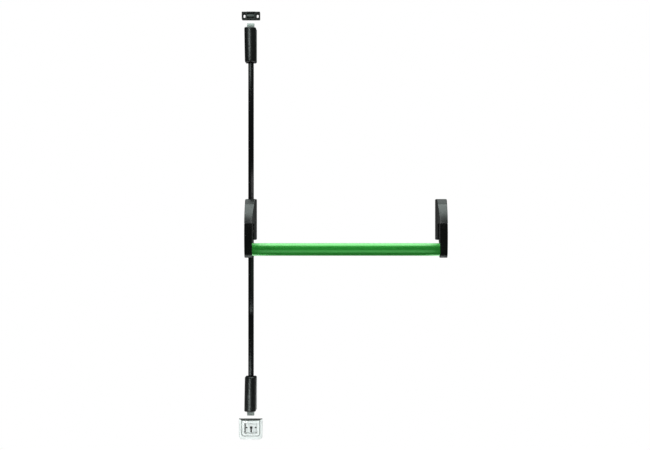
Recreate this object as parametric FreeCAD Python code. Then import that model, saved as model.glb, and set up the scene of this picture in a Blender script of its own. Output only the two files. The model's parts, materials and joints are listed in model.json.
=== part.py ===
import FreeCAD, Part
import math
import os

from FreeCAD import Vector

# Panic bar with two vertical rods for one door leaf. Pushing the oval bar towards the door turns
# a dog inside the active casing. The dog lifts the lower rod, and a pinion between two racks
# draws the upper rod down by as much, so both bolts leave their strikes together.
#
# Millimetres. X runs along the bar, Z is up and the door face is the plane Y = 0. A depth is a
# distance from the door face towards the room, which is -Y. The origin lies on the door face, at
# the middle of the active casing.

# Casings, which are alike for the active end and the idle end
casing_span = 616.0  # from the middle of one casing to the middle of the other
case_half_width = 18.5  # at the door
case_top = 66.0
case_foot = -66.0
side_lean = 6.076  # of each side towards the middle, from the door to the front
top_slope = math.radians(3.0)
case_wall = 2.3
split_set_back = 8.0  # from the pivot back to where the housing ends and the cap starts
front_reach = 38.0  # from the pivot to the cap's front at its lower edge
seam_height = -14.0  # of the cap's lower edge
brow_set_back = 2.0  # from the pivot back to a second point of the front arc
brow_height = 43.0
front_radius = 168.0
shoulder_radius = 14.0
corner_round = 5.0  # of the two upper corners
sill_depth = 14.5  # of the wall that closes the foot of a housing
lip_thickness = 1.25
lip_fit = 0.13
lip_length = 4.0
lip_root = 6.0  # of the lip, inside the cap
lip_seam_gap = 6.0
lip_hub_gap = 3.0

# Chassis
plate_thickness = 3.0
plate_margin = 0.7  # between the plate and the housing round it
fixing_half_pitch_x = 11.0
fixing_half_pitch_z = 59.0
fixing_hole_radius = 2.25
cheek_inner = 5.8
cheek_thickness = 2.0
cheek_low = 12.0
cheek_high = 40.0
ear_radius = 8.5

# Pivot of the levers
pivot_depth = 60.0
pivot_height = 22.0
push_angle = 24.0
spindle_half = 3.5  # of the square spindle
spindle_end_play = 0.1
running_fit = 0.05
push_fit = 0.03
bush_radius = 6.2
bush_gap = 0.1
clip_half = 5.4
clip_thickness = 0.6
groove_half = 2.7
groove_play = 0.05

# Levers
lever_half_width = 12.3
lever_wall = 2.4
lever_gap = 1.0  # the seam between cap and lever
lever_rear_set_back = 13.0  # of its rear upper edge, from the pivot
lever_front_radius = 263.0
lever_chin_reach = 37.5  # from the pivot
lever_chin_height = -100.0
lever_toe_reach = 26.0  # from the pivot
lever_foot = -122.0
lever_edge_bevel = 1.4  # along the front
lever_back_wall = 4.0  # behind the bar
heel_rise = 34.0  # of the heel, above the bar's middle
heel_reach = 4.0  # of the heel, beyond the rear upper edge
waist_rise = 19.5
waist_reach = 2.0  # of the waist, beyond the pivot
calf_rise = 8.0
calf_reach = 0.4  # of the calf, behind the back wall
chin_bulge = (2.2, -1.6)  # of the chin's arc, off its chord
toe_lift = 8.0  # of the rounded rear corner of the toe
toe_run = (7.0, 0.8)  # of that corner, before and behind the back wall
toe_through = (2.1, 2.3)
calf_through = (2.6, 7.6)  # a point of the arc from calf to waist, off the calf
heel_through = (3.6, 9.2)  # a point of the arc from waist to heel, off the heel
heel_wall = (2.4, 6.4)  # of the hollow, off the heel and off the arc below it
heel_wall_drop = 7.0
waist_wall = 3.6
arm_thickness = 2.4
arm_gap = 1.0  # between a cheek and the arm outside it
hub_radius = 9.0
skirt_inset = 3.2
skirt_thickness = 1.8
skirt_rise = 17.0
socket_floor = -73.5
arm_reach = 16.0  # of an arm beyond the pivot, towards the room
arm_root = 25.0  # of an arm below the lever's top
arm_inset = 3.0
spring_lug_thickness = 3.0
spring_lug_height = 8.0

# Push bar
bar_height = 40.0
bar_thickness = 20.0
bar_wall = 2.0
bar_reach = 26.5  # from the pivot
bar_level = -96.0
bar_fit = 0.15
bar_end_radius = 6.5  # of the oval's upper and lower arcs
bar_end_gap = 0.3
plug_length = 18.0
clamp_screw_radius = 3.0
clamp_screw_sink = 0.5
hex_socket_flats = 3.0
hex_socket_depth = 2.2

# Drive: dog, racks and pinion
toe_depth = 20.0  # of the middle of the dog's toe
dog_rest_angle = 12.0  # below the horizontal, towards the door
dog_toe_radius = 3.0
dog_neck = 2.2
dog_root = 5.5
dog_hub_radius = 8.0
dog_far = -5.6
dog_near = -0.2
gear_module = 1.0
pinion_teeth = 12
pressure_angle = math.radians(25.0)
addendum = 0.9
dedendum = 1.15
backlash = 0.12
pinion_height = -24.5
pinion_face = 7.0
axle_radius = 2.0
axle_collar_flats = 5.4
axle_head_flats = 6.0
axle_head = 1.0
rack_back = 11.0
rack_spare = 2.0  # teeth kept beyond the travel, as runs of mesh_reach
upper_rack_spare = 1.8
lower_rack_spare = 1.5
slide_thickness = 7.4
web_height = 8.0
web_margin = 0.5  # of a web beyond the rod
bridge_gap = 0.3
bridge_thickness = 3.0
bridge_height = 8.0
bridge_clear = 4.5  # above the teeth of the pinion
strip_set_back = 2.0  # from the middle of the toe
strip_thickness = 3.0
strip_near = 0.3
strip_far = 5.5
finger_gap = 0.2
finger_height = 3.5
finger_half = 2.0
guide_wall = 2.2
guide_floor = 1.6
guide_lip = 1.2
guide_lip_reach = 2.8
guide_fit = 0.2
guide_beyond = 4.0
stop_tab = 2.3
buffer_height = 2.2
buffer_gap = 0.05
buffer_inset = 0.5

# Return springs round the two shafts
return_wire = 1.3
return_coil_radius = 6.0
return_turns = 2
return_pitch = 1.75
return_start = 1.05
return_leg_to_stop = 20.0
return_leg_to_lever = 33.0
stop_bar_half = 2.0
stop_bar_start = 0.1  # beside the dog
touch = 0.05
wire_sides = 4  # of a wound wire's section
wire_lead = (0.3, 0.5, 0.8)  # a direction along no leg, which sets the first section's turn
gap_steps = 24  # points for each turn where the least gap is measured

# Rods and rod covers
rod_radius = 4.0
rod_depth = 8.5
thread_radius = 3.0
thread_fit = 0.05
web_thread = 6.8
rod_play = 0.6  # round a rod where it passes a wall
rod_cover_width = 17.0
rod_cover_depth = 14.5
rod_cover_wall = 1.4
rod_cover_round = 2.0
guide_length = 12.0
guide_places = (180.0, 390.0)

# Latches. Heights are those of the top latch, and the bottom latch mirrors it about Z = 0.
end_cover_start = 507.0
end_cover_end = 617.5
end_cover_half_width = 18.5
end_cover_axis = (16.5, 21.6)  # depth of the front's centre, at the rod end and at the bolt end
end_cover_front = (35.0, 46.0)  # greatest depth of the front, at the same two ends
end_cover_bevel = (1.5, 2.0)  # of the front edge, at the rod end and at the bolt end
end_cover_wall = 2.3
latch_gap = 0.4
latch_plate = 3.0
latch_corner = 2.0
latch_half_width = 14.0
latch_side_wall = 2.5
latch_side_start = 546.0
latch_side_end = 612.0
latch_fixing_half_pitch_x = 7.0
latch_fixing_radius = 2.1
latch_fixing_height = 552.0
cross_wall_start = 541.0
cross_wall_thickness = 4.0
cross_wall_top = 24.2
bed_start = 590.0
bed_half_width = 9.0
keeper_thickness = 1.8
keeper_tab = 9.0  # length of each of the four tabs that snap into the side walls
keeper_tab_margin = 8.0
keeper_tab_drop = 2.5
bolt_half_width = 11.3
bolt_depth = 10.0
bolt_thickness = 16.0
bolt_start = 575.0
bolt_throw = 16.5  # out of the end cover when the door is shut
bolt_travel = 17.0
bolt_bevel_height = 12.0
bolt_bevel_depth = 9.0
bolt_fit = 0.2
stem_depth = 18.0
stem_radius = 3.0
adaptor_start = 527.0
adaptor_height = 12.0
adaptor_half_width = 4.6
adaptor_wall = 1.5
adaptor_floor = 2.0
lock_nut_flats = 8.8
lock_nut_play = 0.6  # round the nut where it passes an end cover's wall
lock_nut_height = 4.0
rod_thread_bare = 4.0
bolt_spring_wire = 1.4
bolt_spring_radius = 5.7
bolt_spring_turns = 3

# Top strike
top_strike_low = 647.0
top_strike_height = 25.2
top_strike_half_width = 29.3
top_strike_wing = 8.0
top_strike_depth = 20.0
top_strike_boss = 15.0
top_strike_round = 2.5
top_strike_window = 11.8
top_strike_bar = 3.4
top_strike_floor = 2.5
strike_slot_place = 21.5
strike_slot_width = 6.6
strike_slot_height = 11.0
strike_slot_flat = 0.01  # left between the two corners of an end
roller_radius = 4.2
roller_pin_radius = 1.8
roller_depth = 12.5
roller_play = 0.4

# Floor strike, which lies face on beside the rest
floor_strike_top = -643.8
floor_strike_height = 68.2
floor_strike_half_width = 38.4
floor_strike_plate = 3.6
floor_strike_bevel = 2.6
floor_strike_round = 3.0
floor_strike_foot_round = 12.0
socket_half_width = 20.3
socket_drop = 15.2  # from the plate's upper edge
socket_height = 33.0
cup_depth = 12.4
cup_wall = 2.0
cup_floor = 2.4
cup_hole_half_pitch = 14.5
cup_hole_radius = 2.6
keyhole_radius = 4.5
keyhole_slot = 4.4
keyhole_margin = 2.0

# Lugs by which a housing snaps over the edges of its chassis plate
lug_thickness = 2.2
lug_length = 8.0
lug_level = 46.0
lug_hold = 1.8  # over the plate
foot_lug_width = 2.2
foot_lug_gap = 0.6  # beside the hole for the rod

margin = 1.0  # how far a cutting solid passes the faces that it opens

# Depths that follow from the pivot's
split_depth = pivot_depth - split_set_back
front_depth = pivot_depth + front_reach
brow_depth = pivot_depth - brow_set_back
side_draft = side_lean / front_depth
lever_rear_top = pivot_depth - lever_rear_set_back
lever_chin_depth = pivot_depth + lever_chin_reach
lever_toe_depth = pivot_depth + lever_toe_reach
bar_depth = pivot_depth + bar_reach
dog_reach = (pivot_depth - toe_depth) / math.cos(math.radians(dog_rest_angle))
strip_depth = toe_depth - strip_set_back


def at(x, depth, z):
    """The point at a depth from the door face."""
    return Vector(x, -depth, z)


def block(x_range, depths, heights):
    """A box between two values along each axis."""
    size = (x_range[1] - x_range[0], depths[1] - depths[0], heights[1] - heights[0])
    return Part.makeBox(*size, at(x_range[0], depths[1], heights[0]))


def rod_along_x(radius, x_range, depth, z):
    return Part.makeCylinder(radius, x_range[1] - x_range[0], at(x_range[0], depth, z), Vector(1, 0, 0))


def rod_along_depth(radius, depths, x, z):
    return Part.makeCylinder(radius, depths[1] - depths[0], at(x, depths[0], z), Vector(0, -1, 0))


def rod_along_z(radius, heights, x, depth):
    return Part.makeCylinder(radius, heights[1] - heights[0], at(x, depth, heights[0]), Vector(0, 0, 1))


def face_of(path, place):
    """The face inside a closed path of 2D steps. A step is a point, or a pair of points for an
    arc that passes the first and ends at the second."""
    edges = []
    here = path[0]
    for step in list(path[1:]) + [path[0]]:
        if isinstance(step[0], tuple):
            through, end = step
            edges.append(Part.Arc(place(*here), place(*through), place(*end)).toShape())
        elif math.dist(here, step) > 1e-6:
            end = step
            edges.append(Part.makeLine(place(*here), place(*end)))
        here = end
    return Part.Face(Part.Wire(edges))


def side_prism(path, x_range):
    """A prism along X over a path of (depth, z) steps."""
    face = face_of(path, lambda depth, z: at(x_range[0], depth, z))
    return face.extrude(Vector(x_range[1] - x_range[0], 0, 0))


def front_prism(path, depths):
    """A prism along the depth over a path of (x, z) steps."""
    face = face_of(path, lambda x, z: at(x, depths[0], z))
    return face.extrude(Vector(0, depths[0] - depths[1], 0))


def plan_prism(path, heights):
    """A prism along Z over a path of (x, depth) steps."""
    face = face_of(path, lambda x, depth: at(x, depth, heights[0]))
    return face.extrude(Vector(0, 0, heights[1] - heights[0]))


def rounded_box_path(low, high, radii):
    """A rectangle between two corners. radii are those of its lower and its upper corners."""
    (u0, v0), (u1, v1) = low, high
    foot, head = radii
    foot_in = foot * (1 - math.sqrt(0.5))
    head_in = head * (1 - math.sqrt(0.5))
    return [
        (u0 + foot, v0),
        (u1 - foot, v0),
        ((u1 - foot_in, v0 + foot_in), (u1, v0 + foot)),
        (u1, v1 - head),
        ((u1 - head_in, v1 - head_in), (u1 - head, v1)),
        (u0 + head, v1),
        ((u0 + head_in, v1 - head_in), (u0, v1 - head)),
        (u0, v0 + foot),
        ((u0 + foot_in, v0 + foot_in), (u0 + foot, v0)),
    ]


def round_edges(shape, radius, wanted):
    """Fillet the edges for whose middle, as (x, depth, z), wanted says true."""
    chosen = []
    for edge in shape.Edges:
        middle = edge.CenterOfMass
        if wanted(middle.x, -middle.y, middle.z):
            chosen.append(edge)
    return shape.makeFillet(radius, chosen)


def fuse(*shapes):
    """One solid from pieces that overlap or share faces."""
    return shapes[0].multiFuse(list(shapes[1:])).removeSplitter()


def circle_centre(front, back, radius):
    """The centre, on the door side, of the circle through two (depth, z) points."""
    half = math.dist(front, back) / 2
    along = ((back[0] - front[0]) / (2 * half), (back[1] - front[1]) / (2 * half))
    reach = math.sqrt(radius**2 - half**2)
    middle = ((front[0] + back[0]) / 2, (front[1] + back[1]) / 2)
    return (middle[0] - reach * along[1], middle[1] + reach * along[0])


def on_circle(centre, radius, angle):
    return (centre[0] + radius * math.cos(angle), centre[1] + radius * math.sin(angle))


# The front arc of a casing, and the shoulder arc that blends it into the sloping top
front_centre = circle_centre((front_depth, seam_height), (brow_depth, brow_height), front_radius)
top_normal = (math.sin(top_slope), math.cos(top_slope))
top_along = (math.cos(top_slope), -math.sin(top_slope))


def find_shoulder_centre():
    """The point as far under the top as the shoulder radius, and as far inside the front arc."""
    start = (
        -shoulder_radius * top_normal[0] - front_centre[0],
        case_top - shoulder_radius * top_normal[1] - front_centre[1],
    )
    across = start[0] * top_along[0] + start[1] * top_along[1]
    room = (front_radius - shoulder_radius) ** 2 - start[0] ** 2 - start[1] ** 2
    run = -across + math.sqrt(across**2 + room)
    return (
        front_centre[0] + start[0] + run * top_along[0],
        front_centre[1] + start[1] + run * top_along[1],
    )


shoulder_centre = find_shoulder_centre()
shoulder_angle = math.atan2(
    shoulder_centre[1] - front_centre[1], shoulder_centre[0] - front_centre[0]
)


def half_width(depth, inset=0.0):
    """Half the width of a casing at a depth, drawn in by inset."""
    return case_half_width - side_draft * depth - inset


def front_at(z, inset=0.0):
    """Depth of a casing's front arc at a height."""
    return front_centre[0] + math.sqrt((front_radius - inset) ** 2 - (z - front_centre[1]) ** 2)


def casing_path(inset, back, foot):
    """Side outline of a casing drawn in by inset, from the back depth to the foot height."""
    top_angle = math.pi / 2 - top_slope
    shoulder = shoulder_radius - inset
    front = front_radius - inset
    top_end = on_circle(shoulder_centre, shoulder, top_angle)
    front_foot = (front_at(foot, inset), foot)
    foot_angle = math.atan2(foot - front_centre[1], front_foot[0] - front_centre[0])
    return [
        (back, top_end[1] + (top_end[0] - back) * math.tan(top_slope)),
        top_end,
        (
            on_circle(shoulder_centre, shoulder, (top_angle + shoulder_angle) / 2),
            on_circle(shoulder_centre, shoulder, shoulder_angle),
        ),
        (on_circle(front_centre, front, (shoulder_angle + foot_angle) / 2), front_foot),
        (back, foot),
    ]


def casing_form(inset, back, foot):
    """The solid form of a casing drawn in by inset, between its leaning sides. On the outside
    its two upper edges are rounded, up to where the shoulder takes them away."""
    reach = front_depth + shoulder_radius
    form = plan_prism(
        [
            (-half_width(back, inset), back),
            (-half_width(reach, inset), reach),
            (half_width(reach, inset), reach),
            (half_width(back, inset), back),
        ],
        (foot, case_top + margin),
    )
    if not inset:
        top_end = on_circle(shoulder_centre, shoulder_radius, math.pi / 2 - top_slope)

        def slope_at(depth):
            return top_end[1] + (top_end[0] - depth) * math.tan(top_slope)

        under = [(back, slope_at(back)), (reach, slope_at(reach)), (reach, foot), (back, foot)]
        form = form.common(side_prism(under, wide))
        form = round_edges(
            form,
            corner_round,
            lambda x, depth, z: abs(x) > margin and abs(z - slope_at(depth)) < touch,
        )
    return form.common(side_prism(casing_path(inset, back, foot), wide))


def both_sides(make):
    """The pieces that make gives for the left, -1, and for the right, +1."""
    return [make(-1), make(1)]


def span(side, near, far):
    """The range of X between two distances from the middle plane, on one side of it."""
    return (near, far) if side > 0 else (-far, -near)


wide = (-case_half_width - margin, case_half_width + margin)


def make_housing(with_rods):
    """The tray against the door. Its front is open to the cap, and its foot to the lever."""
    form = casing_form(0.0, 0.0, case_foot)
    form = form.common(block(wide, (0.0, split_depth), (case_foot, case_top + margin)))
    form = form.cut(casing_form(case_wall, -margin, case_foot + case_wall))
    mouth = casing_form(case_wall, -margin, case_foot - margin)
    mouth = mouth.common(
        block(wide, (sill_depth, split_depth + margin), (case_foot - margin, case_foot + 2 * case_wall))
    )
    form = form.cut(mouth)
    over_plate = (plate_thickness, plate_thickness + lug_thickness)
    rod_hole = rod_radius + rod_play
    foot_lug = rod_hole + foot_lug_gap
    lugs = []
    for side in (-1, 1):
        wall = half_width(plate_thickness, case_wall / 2)
        lugs.append(
            block(
                span(side, plate_half_width - lug_hold, wall),
                over_plate,
                (lug_level - lug_length / 2, lug_level + lug_length / 2),
            )
        )
        lugs.append(
            block(
                span(side, foot_lug, foot_lug + foot_lug_width),
                over_plate,
                (case_foot + case_wall / 2, plate_foot + lug_hold),
            )
        )
    form = fuse(form, *lugs)
    if with_rods:
        foot_wall = (case_foot - margin, case_foot + case_wall + margin)
        top_wall = (case_top - 2 * case_wall, case_top + margin)
        for heights in (foot_wall, top_wall):
            form = form.cut(rod_along_z(rod_hole, heights, 0.0, rod_depth))
    return form


plate_half_width = half_width(plate_thickness, case_wall + plate_margin)
plate_top = case_top - case_wall - plate_margin
plate_foot = case_foot + case_wall + latch_gap


def make_cap():
    """The fixed upper cover. Its lips slip inside the housing."""
    form = casing_form(0.0, 0.0, seam_height)
    form = form.common(block(wide, (split_depth, front_radius), (seam_height, case_top)))
    form = form.cut(casing_form(case_wall, -margin, seam_height - margin))
    outer = half_width(split_depth, case_wall + lip_fit)
    lower_lip = (seam_height + lip_seam_gap, pivot_height - hub_radius - lip_hub_gap)
    upper_lip = (pivot_height + hub_radius + lip_hub_gap, cheek_high)
    lips = []
    for side in (-1, 1):
        for heights in (lower_lip, upper_lip):
            lips.append(
                block(
                    span(side, outer - lip_thickness, outer),
                    (split_depth - lip_length, split_depth + lip_root),
                    heights,
                )
            )
    return fuse(form, *lips)


def fixing_holes(x_pitch, heights, radius, thickness):
    """The screw holes of a plate that lies on the door, two at each height."""
    return [
        rod_along_depth(radius, (-margin, thickness + margin), side * x_pitch, z)
        for side in (-1, 1)
        for z in heights
    ]


def spindle_bar(half, x_range):
    """A square bar round the pivot."""
    heights = (pivot_height - half, pivot_height + half)
    return block(x_range, (pivot_depth - half, pivot_depth + half), heights)


def cheek_path():
    ear = (pivot_depth, pivot_height)
    return [
        (plate_thickness / 2, cheek_low),
        (plate_thickness / 2, cheek_high),
        (pivot_depth - 2 * ear_radius, cheek_high),
        on_circle(ear, ear_radius, math.pi / 2),
        (on_circle(ear, ear_radius, 0.0), on_circle(ear, ear_radius, -math.pi / 2)),
        (pivot_depth - 2 * ear_radius, cheek_low),
    ]


toe_rest = (
    pivot_depth - dog_reach * math.cos(math.radians(dog_rest_angle)),
    pivot_height - dog_reach * math.sin(math.radians(dog_rest_angle)),
)
buffer_top = toe_rest[1] - dog_toe_radius - buffer_gap
tab_top = buffer_top - buffer_height
stop_bar_depth = pivot_depth - return_leg_to_stop + 2 * stop_bar_half
stop_bar_height = pivot_height + return_coil_radius + return_wire / 2 + stop_bar_half + touch
cheek_outer = cheek_inner + cheek_thickness
arm_inner = cheek_outer + arm_gap
arm_outer = arm_inner + arm_thickness


def stop_bar(half, x_range):
    """A square bar over the return spring's leg."""
    return block(
        x_range,
        (stop_bar_depth - half, stop_bar_depth + half),
        (stop_bar_height - half, stop_bar_height + half),
    )


def make_chassis(with_drive):
    """The steel plate on the door, with two cheeks that carry the pivot."""
    plate = block((-plate_half_width, plate_half_width), (0.0, plate_thickness), (plate_foot, plate_top))
    cheeks = both_sides(lambda side: side_prism(cheek_path(), span(side, cheek_inner, cheek_outer)))
    if with_drive:
        toe_depths = (toe_rest[0] - dog_toe_radius, toe_rest[0] + dog_toe_radius)
        tab_heights = (tab_top - stop_tab, cheek_low + margin)
        hanger_depths = (toe_depths[0] - dog_toe_radius, toe_depths[1] + 2 * dog_toe_radius)
        cheeks.append(block(span(-1, cheek_inner, cheek_outer), hanger_depths, tab_heights))
        cheeks.append(block((-cheek_inner - margin, dog_near), toe_depths, (tab_top - stop_tab, tab_top)))
    form = fuse(plate, *cheeks)
    fixing_heights = (-fixing_half_pitch_z, fixing_half_pitch_z)
    tools = fixing_holes(fixing_half_pitch_x, fixing_heights, fixing_hole_radius, plate_thickness)
    through = (-cheek_outer - margin, cheek_outer + margin)
    tools.append(rod_along_x(bush_radius + bush_gap, through, pivot_depth, pivot_height))
    tools.append(stop_bar(stop_bar_half + push_fit, (cheek_inner - margin, cheek_outer + margin)))
    if with_drive:
        through_plate = (-margin, plate_thickness + margin)
        tools.append(rod_along_depth(axle_radius + push_fit, through_plate, 0.0, pinion_height))
    return form.cut(tools)


def make_bushes(x):
    """The two bushes of one casing. Each turns with the spindle in a cheek, and reaches to an
    arm of the lever."""
    bushes = []
    for side in (-1, 1):
        across = span(side, cheek_inner, arm_inner)
        barrel = rod_along_x(bush_radius, across, pivot_depth, pivot_height)
        bushes.append(moved(barrel.cut(spindle_bar(spindle_half + push_fit, across)), x))
    return bushes


def moved(shape, x):
    """A copy of the shape, moved along the bar."""
    copy = shape.copy()
    copy.translate(Vector(x, 0, 0))
    return copy


def mirrored(shape):
    """The shape's image about Z = 0, for the bottom latch."""
    return shape.mirror(Vector(0, 0, 0), Vector(0, 0, 1))


lever_top = seam_height - lever_gap
lever_nose = (front_at(lever_top), lever_top)
lever_chin = (lever_chin_depth, lever_chin_height)
lever_centre = circle_centre(lever_chin, lever_nose, lever_front_radius)


def lever_front_depth(z, inset=0.0):
    """Depth of the lever's long front arc at a height."""
    return lever_centre[0] + math.sqrt((lever_front_radius - inset) ** 2 - (z - lever_centre[1]) ** 2)


socket_rear = bar_depth - bar_thickness / 2 - bar_fit
lever_rear = socket_rear - lever_back_wall
lever_heel = (lever_rear_top + heel_reach, bar_level + heel_rise)
lever_waist = (pivot_depth + waist_reach, bar_level + waist_rise)
lever_calf = (lever_rear - calf_reach, bar_level + calf_rise)


def lever_path():
    """Side outline of a lever, from its top down the front and back up behind the bar."""
    middle = (lever_top + lever_chin_height) / 2
    toe = (lever_toe_depth, lever_foot)
    chin_middle = (
        (lever_chin[0] + toe[0]) / 2 + chin_bulge[0],
        (lever_chin[1] + toe[1]) / 2 + chin_bulge[1],
    )
    return [
        (lever_rear_top, lever_top),
        lever_nose,
        ((lever_front_depth(middle), middle), lever_chin),
        (chin_middle, toe),
        (lever_rear + toe_run[0], lever_foot),
        (
            (lever_rear + toe_through[0], lever_foot + toe_through[1]),
            (lever_rear + toe_run[1], lever_foot + toe_lift),
        ),
        lever_calf,
        ((lever_calf[0] - calf_through[0], lever_calf[1] + calf_through[1]), lever_waist),
        ((lever_heel[0] + heel_through[0], lever_heel[1] - heel_through[1]), lever_heel),
    ]


def lever_hollow():
    """The room inside a lever, which is open to the door."""
    top = lever_top - lever_wall
    middle = (top + socket_floor) / 2
    path = [
        (0.0, top),
        (lever_front_depth(top, lever_wall), top),
        (
            (lever_front_depth(middle, lever_wall), middle),
            (lever_front_depth(socket_floor, lever_wall), socket_floor),
        ),
        (lever_waist[0] + waist_wall, socket_floor),
        (lever_heel[0] + heel_wall[1], lever_heel[1] - heel_wall_drop),
        (lever_heel[0] + heel_wall[0], lever_heel[1]),
        (0.0, lever_heel[1]),
    ]
    inner = lever_half_width - lever_wall
    return side_prism(path, (-inner, inner))


def arm_path():
    """One of the two arms that carry a lever on its shaft."""
    hub = (pivot_depth, pivot_height)
    return [
        (lever_rear_top + arm_inset, lever_top - arm_root),
        on_circle(hub, hub_radius, math.pi),
        (on_circle(hub, hub_radius, math.pi / 2), on_circle(hub, hub_radius, 0.0)),
        (pivot_depth + arm_reach, lever_top),
        (pivot_depth + arm_reach, lever_top - arm_root),
    ]


bar_side_radius = (
    (bar_thickness / 2) ** 2 + (bar_height / 2 - bar_end_radius) ** 2 - bar_end_radius**2
) / (bar_thickness - 2 * bar_end_radius)


def oval(inset, x_range):
    """A prism along X with the bar's oval section drawn in by inset: two flat arcs, front and
    rear, that run smoothly into two tight arcs, above and below."""
    half_height = bar_height / 2 - inset
    half_thickness = bar_thickness / 2 - inset
    end_centre = bar_height / 2 - bar_end_radius
    side_centre = bar_side_radius - bar_thickness / 2
    lean = math.atan2(end_centre, side_centre)
    side_radius = bar_side_radius - inset
    join_depth = side_radius * math.cos(lean) - side_centre
    join_height = side_radius * math.sin(lean)

    def beside(depth, height):
        return (bar_depth + depth, bar_level + height)

    path = [
        beside(-join_depth, -join_height),
        (beside(0.0, -half_height), beside(join_depth, -join_height)),
        (beside(half_thickness, 0.0), beside(join_depth, join_height)),
        (beside(0.0, half_height), beside(-join_depth, join_height)),
        (beside(-half_thickness, 0.0), beside(-join_depth, -join_height)),
    ]
    return side_prism(path, x_range)


clamp_screw_start = lever_rear + clamp_screw_sink
clamp_screw_end = bar_depth - bar_thickness / 2 - touch


def make_lever(inward):
    """A lever whose socket opens towards the bar, inward being +1 at the active end."""
    form = side_prism(lever_path(), (-lever_half_width, lever_half_width))
    front = [edge for edge in form.Edges if -edge.CenterOfMass.y > lever_chin_depth]
    rim = [edge for edge in front if abs(edge.CenterOfMass.x) > arm_outer]
    form = form.makeChamfer(lever_edge_bevel, rim)
    form = form.cut(lever_hollow())
    arms = both_sides(lambda side: side_prism(arm_path(), span(side, arm_inner, arm_outer)))
    skirt_low = lever_top - lever_wall
    skirt = casing_form(skirt_inset, 0.0, skirt_low).cut(
        casing_form(skirt_inset + skirt_thickness, -margin, skirt_low - margin)
    )
    skirt = skirt.common(
        block(wide, (pivot_depth + arm_reach, front_radius), (skirt_low, lever_top + skirt_rise))
    )
    lug_depth = pivot_depth + return_coil_radius + return_wire / 2 + touch
    lug_end = return_start + return_pitch * (return_turns + 0.25)
    lug = block(
        (lug_end - return_wire, lug_end + return_wire),
        (lug_depth, lug_depth + spring_lug_thickness),
        (lever_top - margin, lever_top + spring_lug_height),
    )
    form = fuse(form, skirt, lug, *arms)
    through = (-lever_half_width - margin, lever_half_width + margin)
    closed_end = lever_half_width - lever_wall
    reach = (-closed_end, lever_half_width + margin)
    if inward < 0:
        reach = (-reach[1], -reach[0])
    screw_depths = (lever_rear - 2 * margin, bar_depth)
    tools = [
        spindle_bar(spindle_half + push_fit, through),
        oval(-bar_fit, reach),
        rod_along_depth(clamp_screw_radius + thread_fit, screw_depths, 0.0, bar_level),
    ]
    return form.cut(tools)


bar_start = -(lever_half_width - lever_wall) + bar_end_gap
bar_range = (bar_start, casing_span - bar_start)


def make_bar():
    """The oval tube."""
    bore_range = (bar_range[0] - margin, bar_range[1] + margin)
    return oval(0.0, bar_range).cut(oval(bar_wall, bore_range))


def make_plug(x_start):
    """The solid piece in an end of the tube, which stops it from caving in under the screw."""
    return oval(bar_wall + push_fit, (x_start, x_start + plug_length))


def hexagon(flats, centre):
    """A path round a hexagon, flats being the distance across its flats."""
    corner = flats / math.sqrt(3)
    return [on_circle(centre, corner, math.radians(60 * step)) for step in range(6)]


def make_clamp_screw(x):
    """A socket grub screw that presses on the back of the bar."""
    screw = rod_along_depth(clamp_screw_radius, (clamp_screw_start, clamp_screw_end), 0.0, bar_level)
    socket = front_prism(
        hexagon(hex_socket_flats, (0.0, bar_level)),
        (clamp_screw_start - margin, clamp_screw_start + hex_socket_depth),
    )
    return moved(screw.cut(socket), x)


groove_start = arm_outer + groove_play
groove_end = groove_start + clip_thickness + 2 * groove_play
spindle_end = groove_end + spindle_end_play


def make_spindle():
    """The square spindle, with a groove for each clip."""
    spindle = spindle_bar(spindle_half, (-spindle_end, spindle_end))
    for side in (-1, 1):
        groove = span(side, groove_start, groove_end)
        ring = spindle_bar(spindle_half + margin, groove)
        spindle = spindle.cut(ring.cut(spindle_bar(groove_half, groove)))
    return spindle


def make_clips(x):
    """The retaining clips of one spindle, each with its mouth to the door."""
    clips = []
    for side in (-1, 1):
        place = span(side, groove_start + groove_play, groove_start + groove_play + clip_thickness)
        slot_half = groove_half + push_fit
        slot = block(
            place,
            (pivot_depth - clip_half - margin, pivot_depth + slot_half),
            (pivot_height - slot_half, pivot_height + slot_half),
        )
        clips.append(moved(spindle_bar(clip_half, place).cut(slot), x))
    return clips


def make_dog():
    """The dog: a hub, a tapering arm and a round toe under the finger of the lower slide."""
    across = (dog_far, dog_near)
    angle = math.radians(dog_rest_angle)
    normal = (-math.sin(angle), math.cos(angle))

    def beside(point, distance):
        return (point[0] + normal[0] * distance, point[1] + normal[1] * distance)

    pivot = (pivot_depth, pivot_height)
    arm = side_prism(
        [
            beside(toe_rest, dog_neck),
            beside(pivot, dog_root),
            beside(pivot, -dog_root),
            beside(toe_rest, -dog_neck),
        ],
        across,
    )
    hub = rod_along_x(dog_hub_radius, across, *pivot)
    toe = rod_along_x(dog_toe_radius, across, *toe_rest)
    bore = spindle_bar(spindle_half + push_fit, (dog_far - margin, dog_near + margin))
    return fuse(arm, hub, toe).cut(bore)


def make_spacer():
    """The sleeve that takes the dog's place on the idle spindle."""
    across = (dog_far, dog_near)
    sleeve = rod_along_x(bush_radius, across, pivot_depth, pivot_height)
    return sleeve.cut(spindle_bar(spindle_half + push_fit, across))


def involute(angle):
    return math.tan(angle) - angle


pitch_radius = gear_module * pinion_teeth / 2
tooth_pitch = math.pi * gear_module
rack_root = pitch_radius + dedendum
rack_tip = pitch_radius - addendum
slide_depths = (rod_depth - slide_thickness / 2, rod_depth + slide_thickness / 2)
pinion_depths = (rod_depth - pinion_face / 2, rod_depth + pinion_face / 2)


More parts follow.
